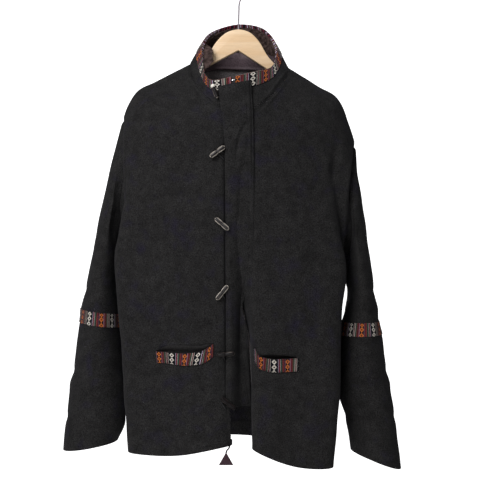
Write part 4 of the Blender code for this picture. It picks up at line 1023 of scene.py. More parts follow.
def point_at(spot, far, points):
    """A row of `points`, or between two, at a distance along the line that `far` measures."""
    return np.array([np.interp(spot, far, points[:, k]) for k in range(3)])


def flat_of(grid, around=False):
    """The flat width, length and area of a grid of cloth, in metres and square metres."""
    closed = np.concatenate([grid, grid[:, :1]], axis=1) if around else grid
    width = max(lengths_along(row)[-1] for row in closed)
    length = max(lengths_along(column)[-1] for column in closed.transpose(1, 0, 2))
    across = np.diff(closed, axis=1)[:-1]
    down = np.diff(closed, axis=0)[:, :-1]
    area = np.linalg.norm(np.cross(across, down), axis=-1).sum()
    return (width * MM, length * MM), min(area * MM * MM, width * length * MM * MM)


def bevel(mesh, edges, offset, segments=2):
    """Rounds edges of a bmesh."""
    bmesh.ops.bevel(
        mesh, geom=edges, offset=offset, segments=segments, profile=0.5, affect="EDGES", material=-1
    )


def slab(outline, first_y, thickness):
    """A bmesh of an outline of (x, z) places, from `first_y` to the back."""
    mesh = bmesh.new()
    face = mesh.faces.new([mesh.verts.new((x, first_y, z)) for x, z in outline])
    deep = bmesh.ops.extrude_face_region(mesh, geom=[face], use_keep_orig=True)
    moved = [part for part in deep["geom"] if isinstance(part, bmesh.types.BMVert)]
    bmesh.ops.translate(mesh, vec=(0, thickness, 0), verts=moved)
    bmesh.ops.recalc_face_normals(mesh, faces=mesh.faces)
    return mesh


def wall(outer, inner, around=False, rounding=0.0, cloth=None):
    """A closed wall between two grids of points, with rounded edges."""
    rows, columns = outer.shape[:2]
    cloth = lengths_on(outer) if cloth is None else cloth
    mesh = bmesh.new()
    place = mesh.verts.layers.int.new("place")
    woven = mesh.verts.layers.float_vector.new("cloth")
    wide = columns + 1 if around else columns
    made = bmesh.ops.create_grid(mesh, x_segments=wide - 1, y_segments=rows - 1, size=1.0)
    for number, vertex in enumerate(made["verts"]):
        row, column = divmod(number, wide)
        column %= columns
        vertex[place] = row * columns + column
        vertex[woven] = Vector(cloth[row, column])
        vertex.co = Vector(outer[row, column])
    if around:
        bmesh.ops.remove_doubles(mesh, verts=mesh.verts, dist=MERGE)
    old = set(mesh.verts)
    bmesh.ops.extrude_face_region(mesh, geom=mesh.faces[:], use_keep_orig=True)
    for vertex in mesh.verts:
        if vertex not in old:
            row, column = divmod(vertex[place], columns)
            vertex.co = Vector(inner[row, column])
    bmesh.ops.recalc_face_normals(mesh, faces=mesh.faces)
    if mesh.calc_volume(signed=True) < 0:
        bmesh.ops.reverse_faces(mesh, faces=mesh.faces)
    if rounding:
        rim = set()
        for face in mesh.faces:
            if 0 < len(old.intersection(face.verts)) < len(face.verts):
                rim.update(face.edges)
        edges = [edge for edge in rim if (edge.verts[0] in old) == (edge.verts[1] in old)]
        bevel(mesh, edges, rounding)
    return mesh


def as_data(name, mesh):
    """A bmesh as mesh data."""
    data = bpy.data.meshes.new(name)
    mesh.to_mesh(data)
    mesh.free()
    return data


def link(name, data):
    """A new object in the scene."""
    item = bpy.data.objects.new(name, data)
    bpy.context.scene.collection.objects.link(item)
    return item


def add_object(name, mesh, material, angle=50):
    """Links a bmesh in millimetres as an object in metres."""
    bmesh.ops.scale(mesh, vec=(MM, MM, MM), verts=mesh.verts)
    data = as_data(name, mesh)
    data.shade_smooth()
    data.set_sharp_from_angle(angle=math.radians(angle))
    data.materials.append(material)
    return link(name, data)


def keep(item, slot, *nodes):
    """Fixes a finished piece to the coat and hides the nodes that it stands for; `slot` is not used."""
    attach(item, BODY)
    if nodes:
        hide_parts(*nodes)
    return item


def hang(grid, around=False):
    """Works out the flat size and area that a grid of cloth is cut to, without keeping them."""
    flat, area = flat_of(grid, around)


def settle(item):
    """Applies a piece's modifiers."""
    graph = bpy.context.evaluated_depsgraph_get()
    finished = bpy.data.meshes.new_from_object(item.evaluated_get(graph))
    item.modifiers.clear()
    item.data = finished


def tube(name, points, across, material, sides=12):
    """A tube through points in millimetres, with rounded ends."""
    points = np.array(points, float)
    along = np.gradient(points, axis=0)
    along /= np.linalg.norm(along, axis=1)[:, None]
    mesh = bmesh.new()
    side = Vector(TUBE_SIDE)
    rings = []
    ends = END_REACH * across
    stations = [(points[0] - along[0] * ends, along[0], END_SHARE)]
    stations += [(point, way, 1.0) for point, way in zip(points, along)]
    stations += [(points[-1] + along[-1] * ends, along[-1], END_SHARE)]
    for point, way, share in stations:
        way = Vector(way)
        side = (side - way * side.dot(way)).normalized()
        turn = Matrix((side, way.cross(side), way)).transposed().to_4x4()
        turn.translation = Vector(point)
        ring = bmesh.ops.create_circle(
            mesh, cap_ends=False, segments=sides, radius=across / 2 * share, matrix=turn
        )
        rings.append(ring["verts"])
    loops = [[edge for edge in mesh.edges if edge.verts[0] in ring and edge.verts[1] in ring]
             for ring in map(set, rings)]
    for one, other in zip(loops, loops[1:]):
        bmesh.ops.bridge_loops(mesh, edges=one + other)
    bmesh.ops.contextual_create(mesh, geom=loops[0])
    bmesh.ops.contextual_create(mesh, geom=loops[-1])
    bmesh.ops.recalc_face_normals(mesh, faces=mesh.faces)
    return add_object(name, mesh, material, angle=60)


def surface(items):
    """A search tree over the shapes of some objects, in millimetres."""
    mesh = bmesh.new()
    for item in items:
        mesh.from_mesh(item.data)
    bmesh.ops.scale(mesh, vec=(1 / MM, 1 / MM, 1 / MM), verts=mesh.verts)
    tree = BVHTree.FromBMesh(mesh)
    mesh.free()
    return tree


def depth_at(tree, x, z, beyond=0.0):
    """How deep the first surface lies that a look from the front meets at (x, z)."""
    point = tree.ray_cast(Vector((x, FAR_IN_FRONT, z)), Vector((0, 1, 0)))[0]
    return beyond if point is None else point.y


def turned(profile, sides):
    """A body turned about the X axis through (along, radius) points, in millimetres."""
    mesh = bmesh.new()
    line = [mesh.verts.new((along, 0, radius)) for along, radius in profile]
    edges = [mesh.edges.new(pair) for pair in zip(line, line[1:])]
    bmesh.ops.spin(
        mesh, geom=line + edges, cent=(0, 0, 0), axis=(1, 0, 0), angle=2 * math.pi,
        steps=sides, use_merge=True,
    )
    bmesh.ops.remove_doubles(mesh, verts=mesh.verts, dist=1e-4)
    bmesh.ops.recalc_face_normals(mesh, faces=mesh.faces)
    return mesh


def scatter(shape, frames):
    """One bmesh with a copy of a small mesh at each of the given frames."""
    mesh = bmesh.new()
    for frame_of in frames:
        shape.transform(frame_of)
        mesh.from_mesh(shape)
        shape.transform(frame_of.inverted())
    return mesh


def frame_at(point, along, out):
    """A frame at a point, with X along a line and Z out of the cloth."""
    x = Vector(along).normalized()
    z = Vector(out)
    z = (z - x * z.dot(x)).normalized()
    y = z.cross(x)
    turn = Matrix((x, y, z)).transposed().to_4x4()
    turn.translation = Vector(point)
    return turn


def stitch_shape():
    """One stitch of thread, lying along X: a capsule that dips into the cloth at its ends."""
    profile = [(-along, radius) for along, radius in STITCH_PROFILE] + STITCH_PROFILE[::-1]
    mesh = turned(profile, sides=6)
    for vertex in mesh.verts:
        vertex.co.z -= STITCH_DIP * (vertex.co.x / STITCH_PROFILE[0][0]) ** 2
    return as_data("stitch", mesh)


def stitches_along(points, facing):
    """Frames for stitches along a line of points on the cloth."""
    points = np.asarray(points, float)
    far = lengths_along(points)
    count = int(far[-1] / STITCH_PITCH)
    spots = (np.arange(count) + 0.5) * far[-1] / max(count, 1)
    frames = []
    for spot in spots:
        here, ahead, behind = (point_at(spot + step, far, points) for step in (0.0, 1.0, -1.0))
        frames.append(frame_at(here, ahead - behind, point_at(spot, far, facing)))
    return frames


def linear(code):
    """A hex colour as linear light."""
    parts = [int(code[k : k + 2], 16) / 255 for k in (1, 3, 5)]
    return tuple(c / 12.92 if c <= 0.04045 else ((c + 0.055) / 1.055) ** 2.4 for c in parts) + (1.0,)


def new_material(name, **inputs):
    """A material with a Principled shader whose sockets are set by name, and its node tree."""
    made = bpy.data.materials.new(name)
    made.use_nodes = True
    tree = made.node_tree
    shader = tree.nodes["Principled BSDF"]
    for key, value in inputs.items():
        shader.inputs[key.replace("_", " ")].default_value = value
    return made, tree, shader


def add(tree, kind, inputs=None, **settings):
    """Adds a node with its settings. An input is a value or another node's output."""
    made = tree.nodes.new(kind)
    for name, value in settings.items():
        setattr(made, name, value)
    for key, value in (inputs or {}).items():
        if isinstance(value, bpy.types.NodeSocket):
            tree.links.new(value, made.inputs[key])
        else:
            made.inputs[key].default_value = value
    return made


def calculate(tree, operation, *values, kind="ShaderNodeMath"):
    """What a Math node makes of some values."""
    return add(tree, kind, dict(enumerate(values)), operation=operation).outputs[0]


def chain(tree, value, *steps):
    """A value after Math steps, each an operation and the numbers that it takes."""
    for operation, *numbers in steps:
        value = calculate(tree, operation, value, *numbers)
    return value


def stretched(tree, place, scale):
    """Places multiplied by a factor for each axis, so that a pattern on them is drawn out."""
    return add(tree, "ShaderNodeMapping", {"Vector": place, "Scale": scale}).outputs[0]


def cloud(tree, place, scale, detail=2.0, distortion=0.0):
    """The value of a noise, with about `scale` lumps to a unit of `place`."""
    inputs = {"Vector": place, "Scale": scale, "Detail": detail, "Distortion": distortion}
    return add(tree, "ShaderNodeTexNoise", inputs).outputs["Fac"]


def slanting_ribs(tree, place, size, distortion):
    """The value of slanting ribs. They lie 2.3 times `size` apart, which is in millimetres."""
    inputs = {"Vector": place, "Scale": 1 / (size * MM) / 6.3, "Distortion": distortion}
    return add(tree, "ShaderNodeTexWave", inputs, bands_direction="DIAGONAL").outputs["Fac"]


def plain_weave(tree, place, turns, down):
    """The value of crossing threads: a wave along X times one along the axis `down`."""
    scaled = calculate(tree, "MULTIPLY", place, (turns,) * 3, kind="ShaderNodeVectorMath")
    waves = calculate(tree, "SINE", scaled, kind="ShaderNodeVectorMath")
    split = add(tree, "ShaderNodeSeparateXYZ", {0: waves}).outputs
    return calculate(tree, "MULTIPLY", split["X"], split[down])


def spread(tree, value, low, high, to_low=0.0, to_high=1.0):
    """A value between `low` and `high` as one between `to_low` and `to_high`."""
    inputs = {"Value": value, "From Min": low, "From Max": high, "To Min": to_low, "To Max": to_high}
    return add(tree, "ShaderNodeMapRange", inputs).outputs["Result"]


def mix(tree, share, one, other, way="MIX"):
    """The colour `other` mixed into the colour `one` by a share."""
    inputs = {0: share, 6: one, 7: other}
    return add(tree, "ShaderNodeMix", inputs, data_type="RGBA", blend_type=way).outputs[2]


def ramp(tree, value, stops, interpolation="LINEAR"):
    """The colour at a value on a ramp of (place, colour) stops."""
    made = add(tree, "ShaderNodeValToRGB", {"Fac": value})
    made.color_ramp.interpolation = interpolation
    elements = made.color_ramp.elements
    while len(elements) > 1:
        elements.remove(elements[-1])
    elements[0].position, elements[0].color = stops[0]
    for place, colour in stops[1:]:
        elements.new(place).color = colour
    return made.outputs["Color"]


def shade(colour, by):
    """An opaque colour, multiplied by one number or by one for each channel."""
    return tuple(float(part) for part in np.multiply(tuple(colour), by)) + (1.0,)


def paint(tree, shader, colour):
    tree.links.new(colour, shader.inputs["Base Color"])


def paint_unevenly(tree, shader, scale, dark, pale):
    """Two tones that differ a little, in clouds."""
    value = cloud(tree, object_place(tree), scale)
    paint(tree, shader, ramp(tree, value, [(0.3, linear(dark)), (0.7, linear(pale))]))


def emboss(tree, shader, height, deep):
    """Bump from a value, `deep` millimetres from 0 to 1."""
    bump = add(tree, "ShaderNodeBump", {"Height": height, "Distance": deep * MM})
    tree.links.new(bump.outputs["Normal"], shader.inputs["Normal"])


def object_place(tree):
    return add(tree, "ShaderNodeTexCoord").outputs["Object"]


def cloth_place(tree):
    """Millimetres along and down the cloth, from the piece's own attribute."""
    return add(tree, "ShaderNodeAttribute", attribute_name="cloth").outputs["Vector"]


def felt_bump(tree, shader, grains):
    """Bump from noises of (size in mm, height in mm), added up on the shader's normal."""
    place = object_place(tree)
    inputs = {"Strength": 1.0}
    for size, height in grains:
        inputs["Height"] = cloud(tree, place, 1 / (size * MM), 3.0)
        inputs["Distance"] = height * MM
        inputs["Normal"] = add(tree, "ShaderNodeBump", inputs).outputs["Normal"]
    tree.links.new(inputs["Normal"], shader.inputs["Normal"])
    return place


@functools.lru_cache(maxsize=None)
def wool_melton():
    """Fulled black wool: a matt felt of short fibres, faintly mottled grey and violet."""
    colour = bpy.context.scene.coat_colours.wool
    made, tree, shader = new_material(
        "wool_melton", Roughness=1.0, Specular_IOR_Level=0.08, Sheen_Weight=0.04, Sheen_Roughness=0.5,
        Sheen_Tint=linear("#B9B8C4"),
    )
    place = felt_bump(tree, shader, [(6.0, 0.7), (2.2, 0.6), (0.8, 0.3)])
    stops = [(0.32, shade(colour, 0.8)), (0.68, shade(colour, 1.25))]
    ground = ramp(tree, cloud(tree, place, 60.0, 5.0), stops)
    violet = spread(tree, cloud(tree, place, 31.0), 0.56, 0.8)
    tinted = mix(tree, violet, ground, linear("#1D1B25"))
    fibres = spread(tree, cloud(tree, place, 620.0, 3.0), 0.32, 0.7, 0.35, 1.85)
    mottled = mix(tree, 1.0, tinted, fibres, "MULTIPLY")
    # Lint: sparse pale specks, half a millimetre across.
    specks = add(tree, "ShaderNodeTexVoronoi", {"Vector": place, "Scale": 85.0, "Randomness": 1.0})
    lint = spread(tree, specks.outputs["Distance"], 0.02, 0.05, 1.0, 0.0)
    chosen = calculate(tree, "GREATER_THAN", specks.outputs["Color"], 0.72)
    shown = calculate(tree, "MULTIPLY", lint, chosen)
    paint(tree, shader, mix(tree, shown, mottled, linear("#67666B")))
    return made


@functools.lru_cache(maxsize=None)
def fleece_pile():
    """Brown pile fleece: small dense tufts, lighter at their tips."""
    colour = bpy.context.scene.coat_colours.fleece
    made, tree, shader = new_material(
        "fleece_pile", Roughness=1.0, Specular_IOR_Level=0.1, Sheen_Weight=0.22, Sheen_Roughness=0.5,
        Sheen_Tint=linear("#A08478"),
    )
    place = felt_bump(tree, shader, [(4.0, 1.6), (1.4, 0.9)])
    stops = [(0.34, shade(colour, 0.45)), (0.68, shade(colour, 2.0))]
    paint(tree, shader, ramp(tree, cloud(tree, place, 150.0, 4.0), stops))
    return made


@functools.lru_cache(maxsize=None)
def lining_twill(name="lining_twill", tint=1.0):
    """Grey polyester twill: smooth threads with a slight gloss, in fine diagonal ribs."""
    colour = np.multiply(tuple(bpy.context.scene.coat_colours.lining), tint)
    made, tree, shader = new_material(name, Roughness=0.6, Specular_IOR_Level=0.25)
    place = object_place(tree)
    stops = [(0.35, shade(colour, 0.7)), (0.65, shade(colour, 1.3))]
    paint(tree, shader, ramp(tree, cloud(tree, place, 420.0, 3.0), stops))
    ribs = calculate(tree, "MULTIPLY", slanting_ribs(tree, place, 1.2, 0.6), 0.12)
    emboss(tree, shader, calculate(tree, "ADD", ribs, cloud(tree, place, 45.0)), 1.2)
    return made


@functools.lru_cache(maxsize=None)
def woven_band():
    """Inkle-woven cotton band: warp stripes across, with stepped diamonds of pale and orange yarn."""
    made, tree, shader = new_material(
        "woven_band", Roughness=0.95, Specular_IOR_Level=0.1, Sheen_Weight=0.05, Sheen_Roughness=0.5
    )
    place = cloth_place(tree)
    snapped = calculate(tree, "SNAP", place, (YARN,) * 3, kind="ShaderNodeVectorMath")
    split = add(tree, "ShaderNodeSeparateXYZ", {0: snapped}).outputs
    share = chain(tree, split["X"], ("FLOORED_MODULO", REPEAT), ("DIVIDE", REPEAT))
    starts = [0.0] + [end / REPEAT for end, _ in BAND_STRIPES[:-1]]
    stops = [(start, linear(code)) for start, (_, code) in zip(starts, BAND_STRIPES)]
    colour = ramp(tree, share, stops, "CONSTANT")
    down = chain(
        tree, split["Y"], ("DIVIDE", FIGURE_HEIGHT), ("FLOORED_MODULO", 1.0), ("SUBTRACT", 0.5),
        ("ABSOLUTE",), ("MULTIPLY", 2.0),
    )
    for middle, half_width, outer, inner in BAND_FIGURES:
        beside = chain(
            tree, split["X"], ("ADD", REPEAT / 2 - middle), ("FLOORED_MODULO", REPEAT),
            ("SUBTRACT", REPEAT / 2), ("ABSOLUTE",), ("DIVIDE", half_width),
        )
        reach = calculate(tree, "ADD", beside, down)
        for limit, code in ((1.0, outer), (FIGURE_HEART, inner)):
            inside = calculate(tree, "LESS_THAN", reach, limit)
            colour = mix(tree, inside, colour, linear(code))
    worn = spread(tree, cloud(tree, place, 0.9, 3.0), 0.3, 0.7, 0.55, 1.2)
    paint(tree, shader, mix(tree, 1.0, colour, worn, "MULTIPLY"))
    emboss(tree, shader, plain_weave(tree, place, math.pi / YARN, "Y"), 0.25)
    return made


@functools.lru_cache(maxsize=None)
def polished_horn(pale):
    """Buffalo horn, sawn along its grain and buffed: dark brown with streaks and a painted pale
    highlight.

    It is bone white where the cloth attribute's first value is under BALL_BELOW.
    """
    made, tree, shader = new_material(
        "polished_horn", Roughness=0.42, IOR=1.5, Specular_IOR_Level=0.08 + 0.27 * pale
    )
    place = cloth_place(tree)
    split = add(tree, "ShaderNodeSeparateXYZ", {0: place}).outputs
    grain = cloud(tree, stretched(tree, place, (0.05, 0.42, 0.42)), 1.1)
    # Painted highlight: the toggle's sides, as seen from the front, and its ends are painted pale, as a
    # glossy toggle's long edges catch the light. A low `pale` dims this and paints the whole toggle
    # darker, as painted shade.
    beside = calculate(tree, "ABSOLUTE", split["Y"])
    along = chain(tree, split["X"], ("PINGPONG", TOGGLE_SPACING / 2), ("SUBTRACT", TOGGLE_HIGHLIGHT_AT))
    rim = calculate(tree, "MAXIMUM", beside, along)
    near = spread(tree, rim, 1.6, 3.6, -0.16 - 0.2 * (1 - pale), 0.46 * pale - 0.1 * (1 - pale))
    stops = [
        (0.34, linear("#120F10")), (0.56, linear("#2A2423")), (0.7, linear("#6A625C")),
        (0.92, linear("#BDB6AC")),
    ]
    colour = ramp(tree, calculate(tree, "ADD", grain, near), stops)
    ball = calculate(tree, "LESS_THAN", split["X"], BALL_BELOW)
    paint(tree, shader, mix(tree, ball, colour, linear("#DDD8CF")))
    emboss(tree, shader, grain, 0.15)
    return made


@functools.lru_cache(maxsize=None)
def waxed_cord():
    """Braided cotton cord, waxed black: fine slanting strands with a dull shine."""
    made, tree, shader = new_material(
        "waxed_cord", Base_Color=linear("#101013"), Roughness=0.6, Specular_IOR_Level=0.4
    )
    emboss(tree, shader, slanting_ribs(tree, object_place(tree), 0.7, 1.5), 0.3)
    return made


@functools.lru_cache(maxsize=None)
def sewing_thread():
    """Spun black cotton thread, a little darker than the wool around it."""
    made, tree, shader = new_material("sewing_thread", Roughness=0.85, Specular_IOR_Level=0.2)
    paint_unevenly(tree, shader, 2500.0, "#0A0A0C", "#141416")
    return made


@functools.lru_cache(maxsize=None)
def zip_tape():
    """Black polyester zip tape, woven in fine slanting ribs."""
    made, tree, shader = new_material(
        "zip_tape", Base_Color=linear("#1A1A1D"), Roughness=0.7, Specular_IOR_Level=0.3
    )
    emboss(tree, shader, slanting_ribs(tree, object_place(tree), 0.8, 0.3), 0.15)
    return made


@functools.lru_cache(maxsize=None)
def plated_metal(name, code, roughness):
    """Plated metal: bright, with faint drawing marks and slightly dulled patches."""
    made, tree, shader = new_material(name, Base_Color=linear(code), Metallic=1.0)
    place = object_place(tree)
    wear = cloud(tree, place, 180.0, 3.0)
    dulled = spread(tree, wear, 0.3, 0.75, roughness * 0.7, roughness * 1.5)
    tree.links.new(dulled, shader.inputs["Roughness"])
    emboss(tree, shader, cloud(tree, place, 1600.0), 0.02)
    return made


@functools.lru_cache(maxsize=None)
def lacquered_beech():
    """Steamed beech under clear lacquer: pale, with fine flecks and browner streaks along the grain."""
    colour = bpy.context.scene.coat_colours.beech
    made, tree, shader = new_material(
        "lacquered_beech", Roughness=0.42, Coat_Weight=0.35, Coat_Roughness=0.2
    )
    place = object_place(tree)
    grain = cloud(tree, stretched(tree, place, (9.0, 90.0, 70.0)), 1.2, 6.0, 0.5)
    flecks = cloud(tree, stretched(tree, place, (60.0, 900.0, 700.0)), 1.0)
    stops = [(0.36, shade(colour, (0.93, 0.87, 0.79))), (0.6, shade(colour, 1.0))]
    flecked = spread(tree, flecks, 0.3, 0.6, 0.93, 1.02)
    paint(tree, shader, mix(tree, 1.0, ramp(tree, grain, stops), flecked, "MULTIPLY"))
    emboss(tree, shader, flecks, 0.08)
    return made


@functools.lru_cache(maxsize=None)
def tag_canvas():
    """Thick plain-woven cloth, dark mauve-brown, with paler warp threads."""
    made, tree, shader = new_material("tag_canvas", Roughness=0.9, Specular_IOR_Level=0.2)
    weave = plain_weave(tree, object_place(tree), 2 * math.pi / TAG_THREAD / MM, "Z")
    paint(tree, shader, ramp(tree, weave, [(0.0, linear("#3B2A31")), (0.7, linear("#5C444C"))]))
    emboss(tree, shader, weave, 0.4)
    return made


@functools.lru_cache(maxsize=None)
def pale_floor():
    """Matt pale studio floor, very slightly uneven in tone."""
    made, tree, shader = new_material("pale_floor", Roughness=0.9, Specular_IOR_Level=0.1)
    paint_unevenly(tree, shader, 3.0, "#F0EFED", "#F6F5F3")
    return made


@functools.lru_cache(maxsize=None)
def lit_backdrop():
    """White paper lit from behind."""
    made, tree, shader = new_material(
        "lit_backdrop", Roughness=1.0, Emission_Color=(1.0, 1.0, 1.0, 1.0), Emission_Strength=1.0
    )
    paint_unevenly(tree, shader, 2.0, "#F6F6F6", "#FFFFFF")
    return made


def grid_mesh(points):
    """An open bmesh through a grid of points."""
    rows, columns = points.shape[:2]
    mesh = bmesh.new()
    made = bmesh.ops.create_grid(mesh, x_segments=columns - 1, y_segments=rows - 1, size=1.0)
    for vertex, point in zip(made["verts"], points.reshape(-1, 3)):
        vertex.co = Vector(point)
    return mesh


@functools.lru_cache(maxsize=None)
def front_surface(side):
    """A search tree over one front's outer face, in millimetres."""
    return BVHTree.FromBMesh(grid_mesh(layer(coat_panels()["front_" + side], 0.0)))


def band_rows(side, shares, count, off):
    """Rows of `count` points at shares of a pocket band's width, `off` before the front's cloth."""
    tree = front_surface(side)
    c = table(MOUTHS[side], MOUTH_COLUMNS)
    lip, low = (drawn(places(c, edge), count) for edge in ("lip", "low"))
    lines = [lip + (low - lip) * share for share in shares]
    return np.array([[(x, depth_at(tree, x, z) - off, z) for x, z in line] for line in lines])


def lips(side, count):
    """A pocket's lower lip and how far its mouth opens, at `count` places between its corners."""
    c = table(MOUTHS[side], MOUTH_COLUMNS)
    shut = np.flatnonzero(c["open"] == 0)
    middle = len(c["open"]) / 2
    reach = np.linspace(shut[shut < middle].max(), shut[shut > middle].min(), count)
    opening = np.maximum(evenly(c["open"][:, None], reach)[:, 0], 0)
    return evenly(places(c, "lip"), reach), opening


def cut_mouth(front, side):
    """Cuts a pocket's mouth through its front."""
    lip, opening = lips(side, MOUTH_STEPS)
    outline = list(lip) + [(x, z + up) for (x, z), up in zip(lip[-2:0:-1], opening[-2:0:-1])]
    middle = depth_at(front_surface(side), *lip[len(lip) // 2])
    mesh = slab(outline, middle - CUT_BEFORE, CUT_BEFORE + BAG_DEPTH)
    cutter = add_object("mouth_" + side, mesh, wool_melton())
    change = front.modifiers.new("mouth", "BOOLEAN")
    change.operation = "DIFFERENCE"
    change.solver = "EXACT"
    change.object = cutter
    settle(front)
    bpy.data.objects.remove(cutter, do_unlink=True)


class COAT_OT_wool(bpy.types.Operator):
    """Builds the six wool panels and cuts the pockets' mouths"""

    bl_idname = "coat.wool"
    bl_label = "Wool Panels"

    def execute(self, context):
        sizes = context.scene.coat_sizes
        for name, panel in coat_panels().items():
            outer = layer(panel, 0.0)
            inner = layer(panel, -sizes.wool / MM - self.hem_inside(name, panel["grid"]))
            mesh = wall(outer, inner, panel["around"], sizes.edge / MM)
            item = keep(add_object("wool_" + name, mesh, wool_melton()), "wool", name)
            side = name.removeprefix("front_")
            if side in MOUTHS:
                cut_mouth(item, side)
            hang(panel["grid"], panel["around"])
        return {"FINISHED"}

    def hem_inside(self, name, grid):
        """How far the turned-up hem of the body stands off the cloth's inside."""
        if name not in HEMMED:
            return 0.0
        down = lengths_on(grid)[..., 1]
        above = down[-1:] - down
        inside = HEM_TURN * smooth_step((HEM_STITCH - above) / HEM_STEP)
        for stitches in INNER_HEM_STITCHES:
            inside -= HEM_GROOVE[0] * soft(above - stitches, HEM_GROOVE[1])
        return np.maximum(inside, 0.0)


class COAT_OT_flap(bpy.types.Operator):
    """Builds the flap that is sewn to the right front, with the grooves for its two rows of topstitching
    """

    bl_idname = "coat.flap"
    bl_label = "Flap"

    def execute(self, context):
        sizes = context.scene.coat_sizes
        grid, facing = flap_cloth()
        height = folds(grid, facing, FLAP_CREASES, [0, 2], (0, -1, 0))
        across = lengths_on(grid)[..., 0]
        from_sewn = across[:, -1:] - across
        for groove, depth in zip(FLAP_STITCHES, FLAP_GROOVES):
            height -= depth * soft(from_sewn - groove, FLAP_GROOVE_WIDTH)
        height += FLAP_RIDGE[0] * soft(from_sewn - sum(FLAP_STITCHES) / 2, FLAP_RIDGE[1])
        outer = grid + facing * height[..., None]
        inner = outer - facing * sizes.wool / MM
        mesh = wall(outer, inner, False, sizes.edge / MM)
        item = keep(add_object("wool_flap", mesh, wool_melton()), "wool", "flap")
        hang(grid)
        return {"FINISHED"}


def denser(grid, times):
    """A grid with `times` steps for each of its own, both ways."""
    for _ in ("down", "across"):
        at = refine(np.arange(len(grid)), times)
        low = np.minimum(at.astype(int), len(grid) - 2)
        share = (at - low)[:, None, None]
        grid = (grid[low] * (1 - share) + grid[low + 1] * share).transpose(1, 0, 2)
    return grid


def pile(grid, tall):
    """Uneven height of a pile over a grid of points."""
    found = [
        sum(share * noise.noise(Vector(point) * often) for share, often in PILE_LUMPS)
        for point in grid.reshape(-1, 3)
    ]
    return tall * np.array(found).reshape(grid.shape[:2])


class COAT_OT_linings(bpy.types.Operator):
    """Builds the collar's fleece, the back's lining and the neck facing"""

    bl_idname = "coat.linings"
    bl_label = "Fleece and Lining"

    def execute(self, context):
        sizes = context.scene.coat_sizes
        wool = sizes.wool / MM
        collar = coat_panels()["collar"]
        rows = slice(*np.searchsorted(RISES, FLEECE_RISES))
        columns = slice(LEVEL_STEPS, -LEVEL_STEPS)
        outer = denser(layer(collar, -wool - LYING_GAP, rows, columns), 2)
        deeper = denser(layer(collar, -wool - LYING_GAP - FLEECE, rows, columns), 2)
        inward = deeper - outer
        inward /= np.linalg.norm(inward, axis=2)[..., None]
        full = np.zeros(deeper.shape[:2])
        for height, place, radii in FLEECE_FOLDS:
            away = (deeper - np.array(place)) / np.array(radii)
            full += height * np.exp(-(away**2).sum(axis=2))
        deeper = deeper + inward * pile(deeper, sizes.pile / MM)[..., None]
        deeper += full[..., None] * np.array(FOLD_WAY)
        mesh = wall(outer, deeper)
        item = keep(add_object("fleece_collar", mesh, fleece_pile()), "fleece", "collar_fleece")
        hang(outer)

        back = coat_panels()["back"]
        rows = slice(LEVEL_STEPS, np.searchsorted(LEVELS, LEVELS_AT[-2]))
        columns = slice(*np.searchsorted(BACK_PLACES, LINING_COLUMNS))
        outer = layer(back, -wool - LYING_GAP, rows, columns)
        inner = layer(back, -wool - LYING_GAP - LINING, rows, columns)
        item = add_object("lining_of_back", wall(outer, inner), lining_twill())
        keep(item, "lining", "lining_back")
        hang(outer)
        self.make_facing(collar, back, wool)
        return {"FINISHED"}

    def make_facing(self, collar, back, wool):
        """The neck facing inside the back, from the collar over the seam down to a rolled hem."""
        above = np.arange(np.searchsorted(RISES, FACING_TOP), 0, -1)
        wide = len(NAPE_PLACES)
        low = np.searchsorted(LEVELS, FACING_LEVEL)
        start = np.searchsorted(BACK_PLACES, NECK_LEFT)
        sheets = []
        for depth in (wool + FACING_CLEAR, wool + FACING_CLEAR + FACING):
            over = layer(collar, -depth, above, slice(NECK_ROW, NECK_ROW + wide))
            down = layer(back, -depth, slice(0, low), slice(start, start + wide))
            sheets.append(np.concatenate([over, down]))
        down = np.linspace(0, 1, len(sheets[0]))[:, None, None]
        inward = sheets[1] - sheets[0]
        rolled = inward * ROLL[0] * soft(down - ROLL[1], ROLL[2])
        mesh = wall(sheets[0], sheets[1] + rolled, False, FACING_ROUNDING)
        item = add_object("neck_facing", mesh, lining_twill("facing_twill", FACING_TINT))
        keep(item, "lining")
        hang(sheets[0])


def band_cloth(grid, orange_x, repeat, flip):
    """Millimetres along and across a band, with an orange figure at `orange_x` on its front."""
    middle = grid[grid.shape[0] // 2]
    along = lengths_along(middle)
    ahead = np.flatnonzero(middle[:, 1] < 0)
    if flip:
        ahead = ahead[ahead > len(middle) // 2]
    start = along[ahead[np.argmin(np.abs(middle[ahead, 0] - orange_x))]]
    along = (along - start) * REPEAT / repeat
    down = lengths_along(grid[:, grid.shape[1] // 2])
    cloth = np.zeros(grid.shape)
    cloth[..., 0] = along[None, :]
    cloth[..., 1] = down[:, None]
    return cloth


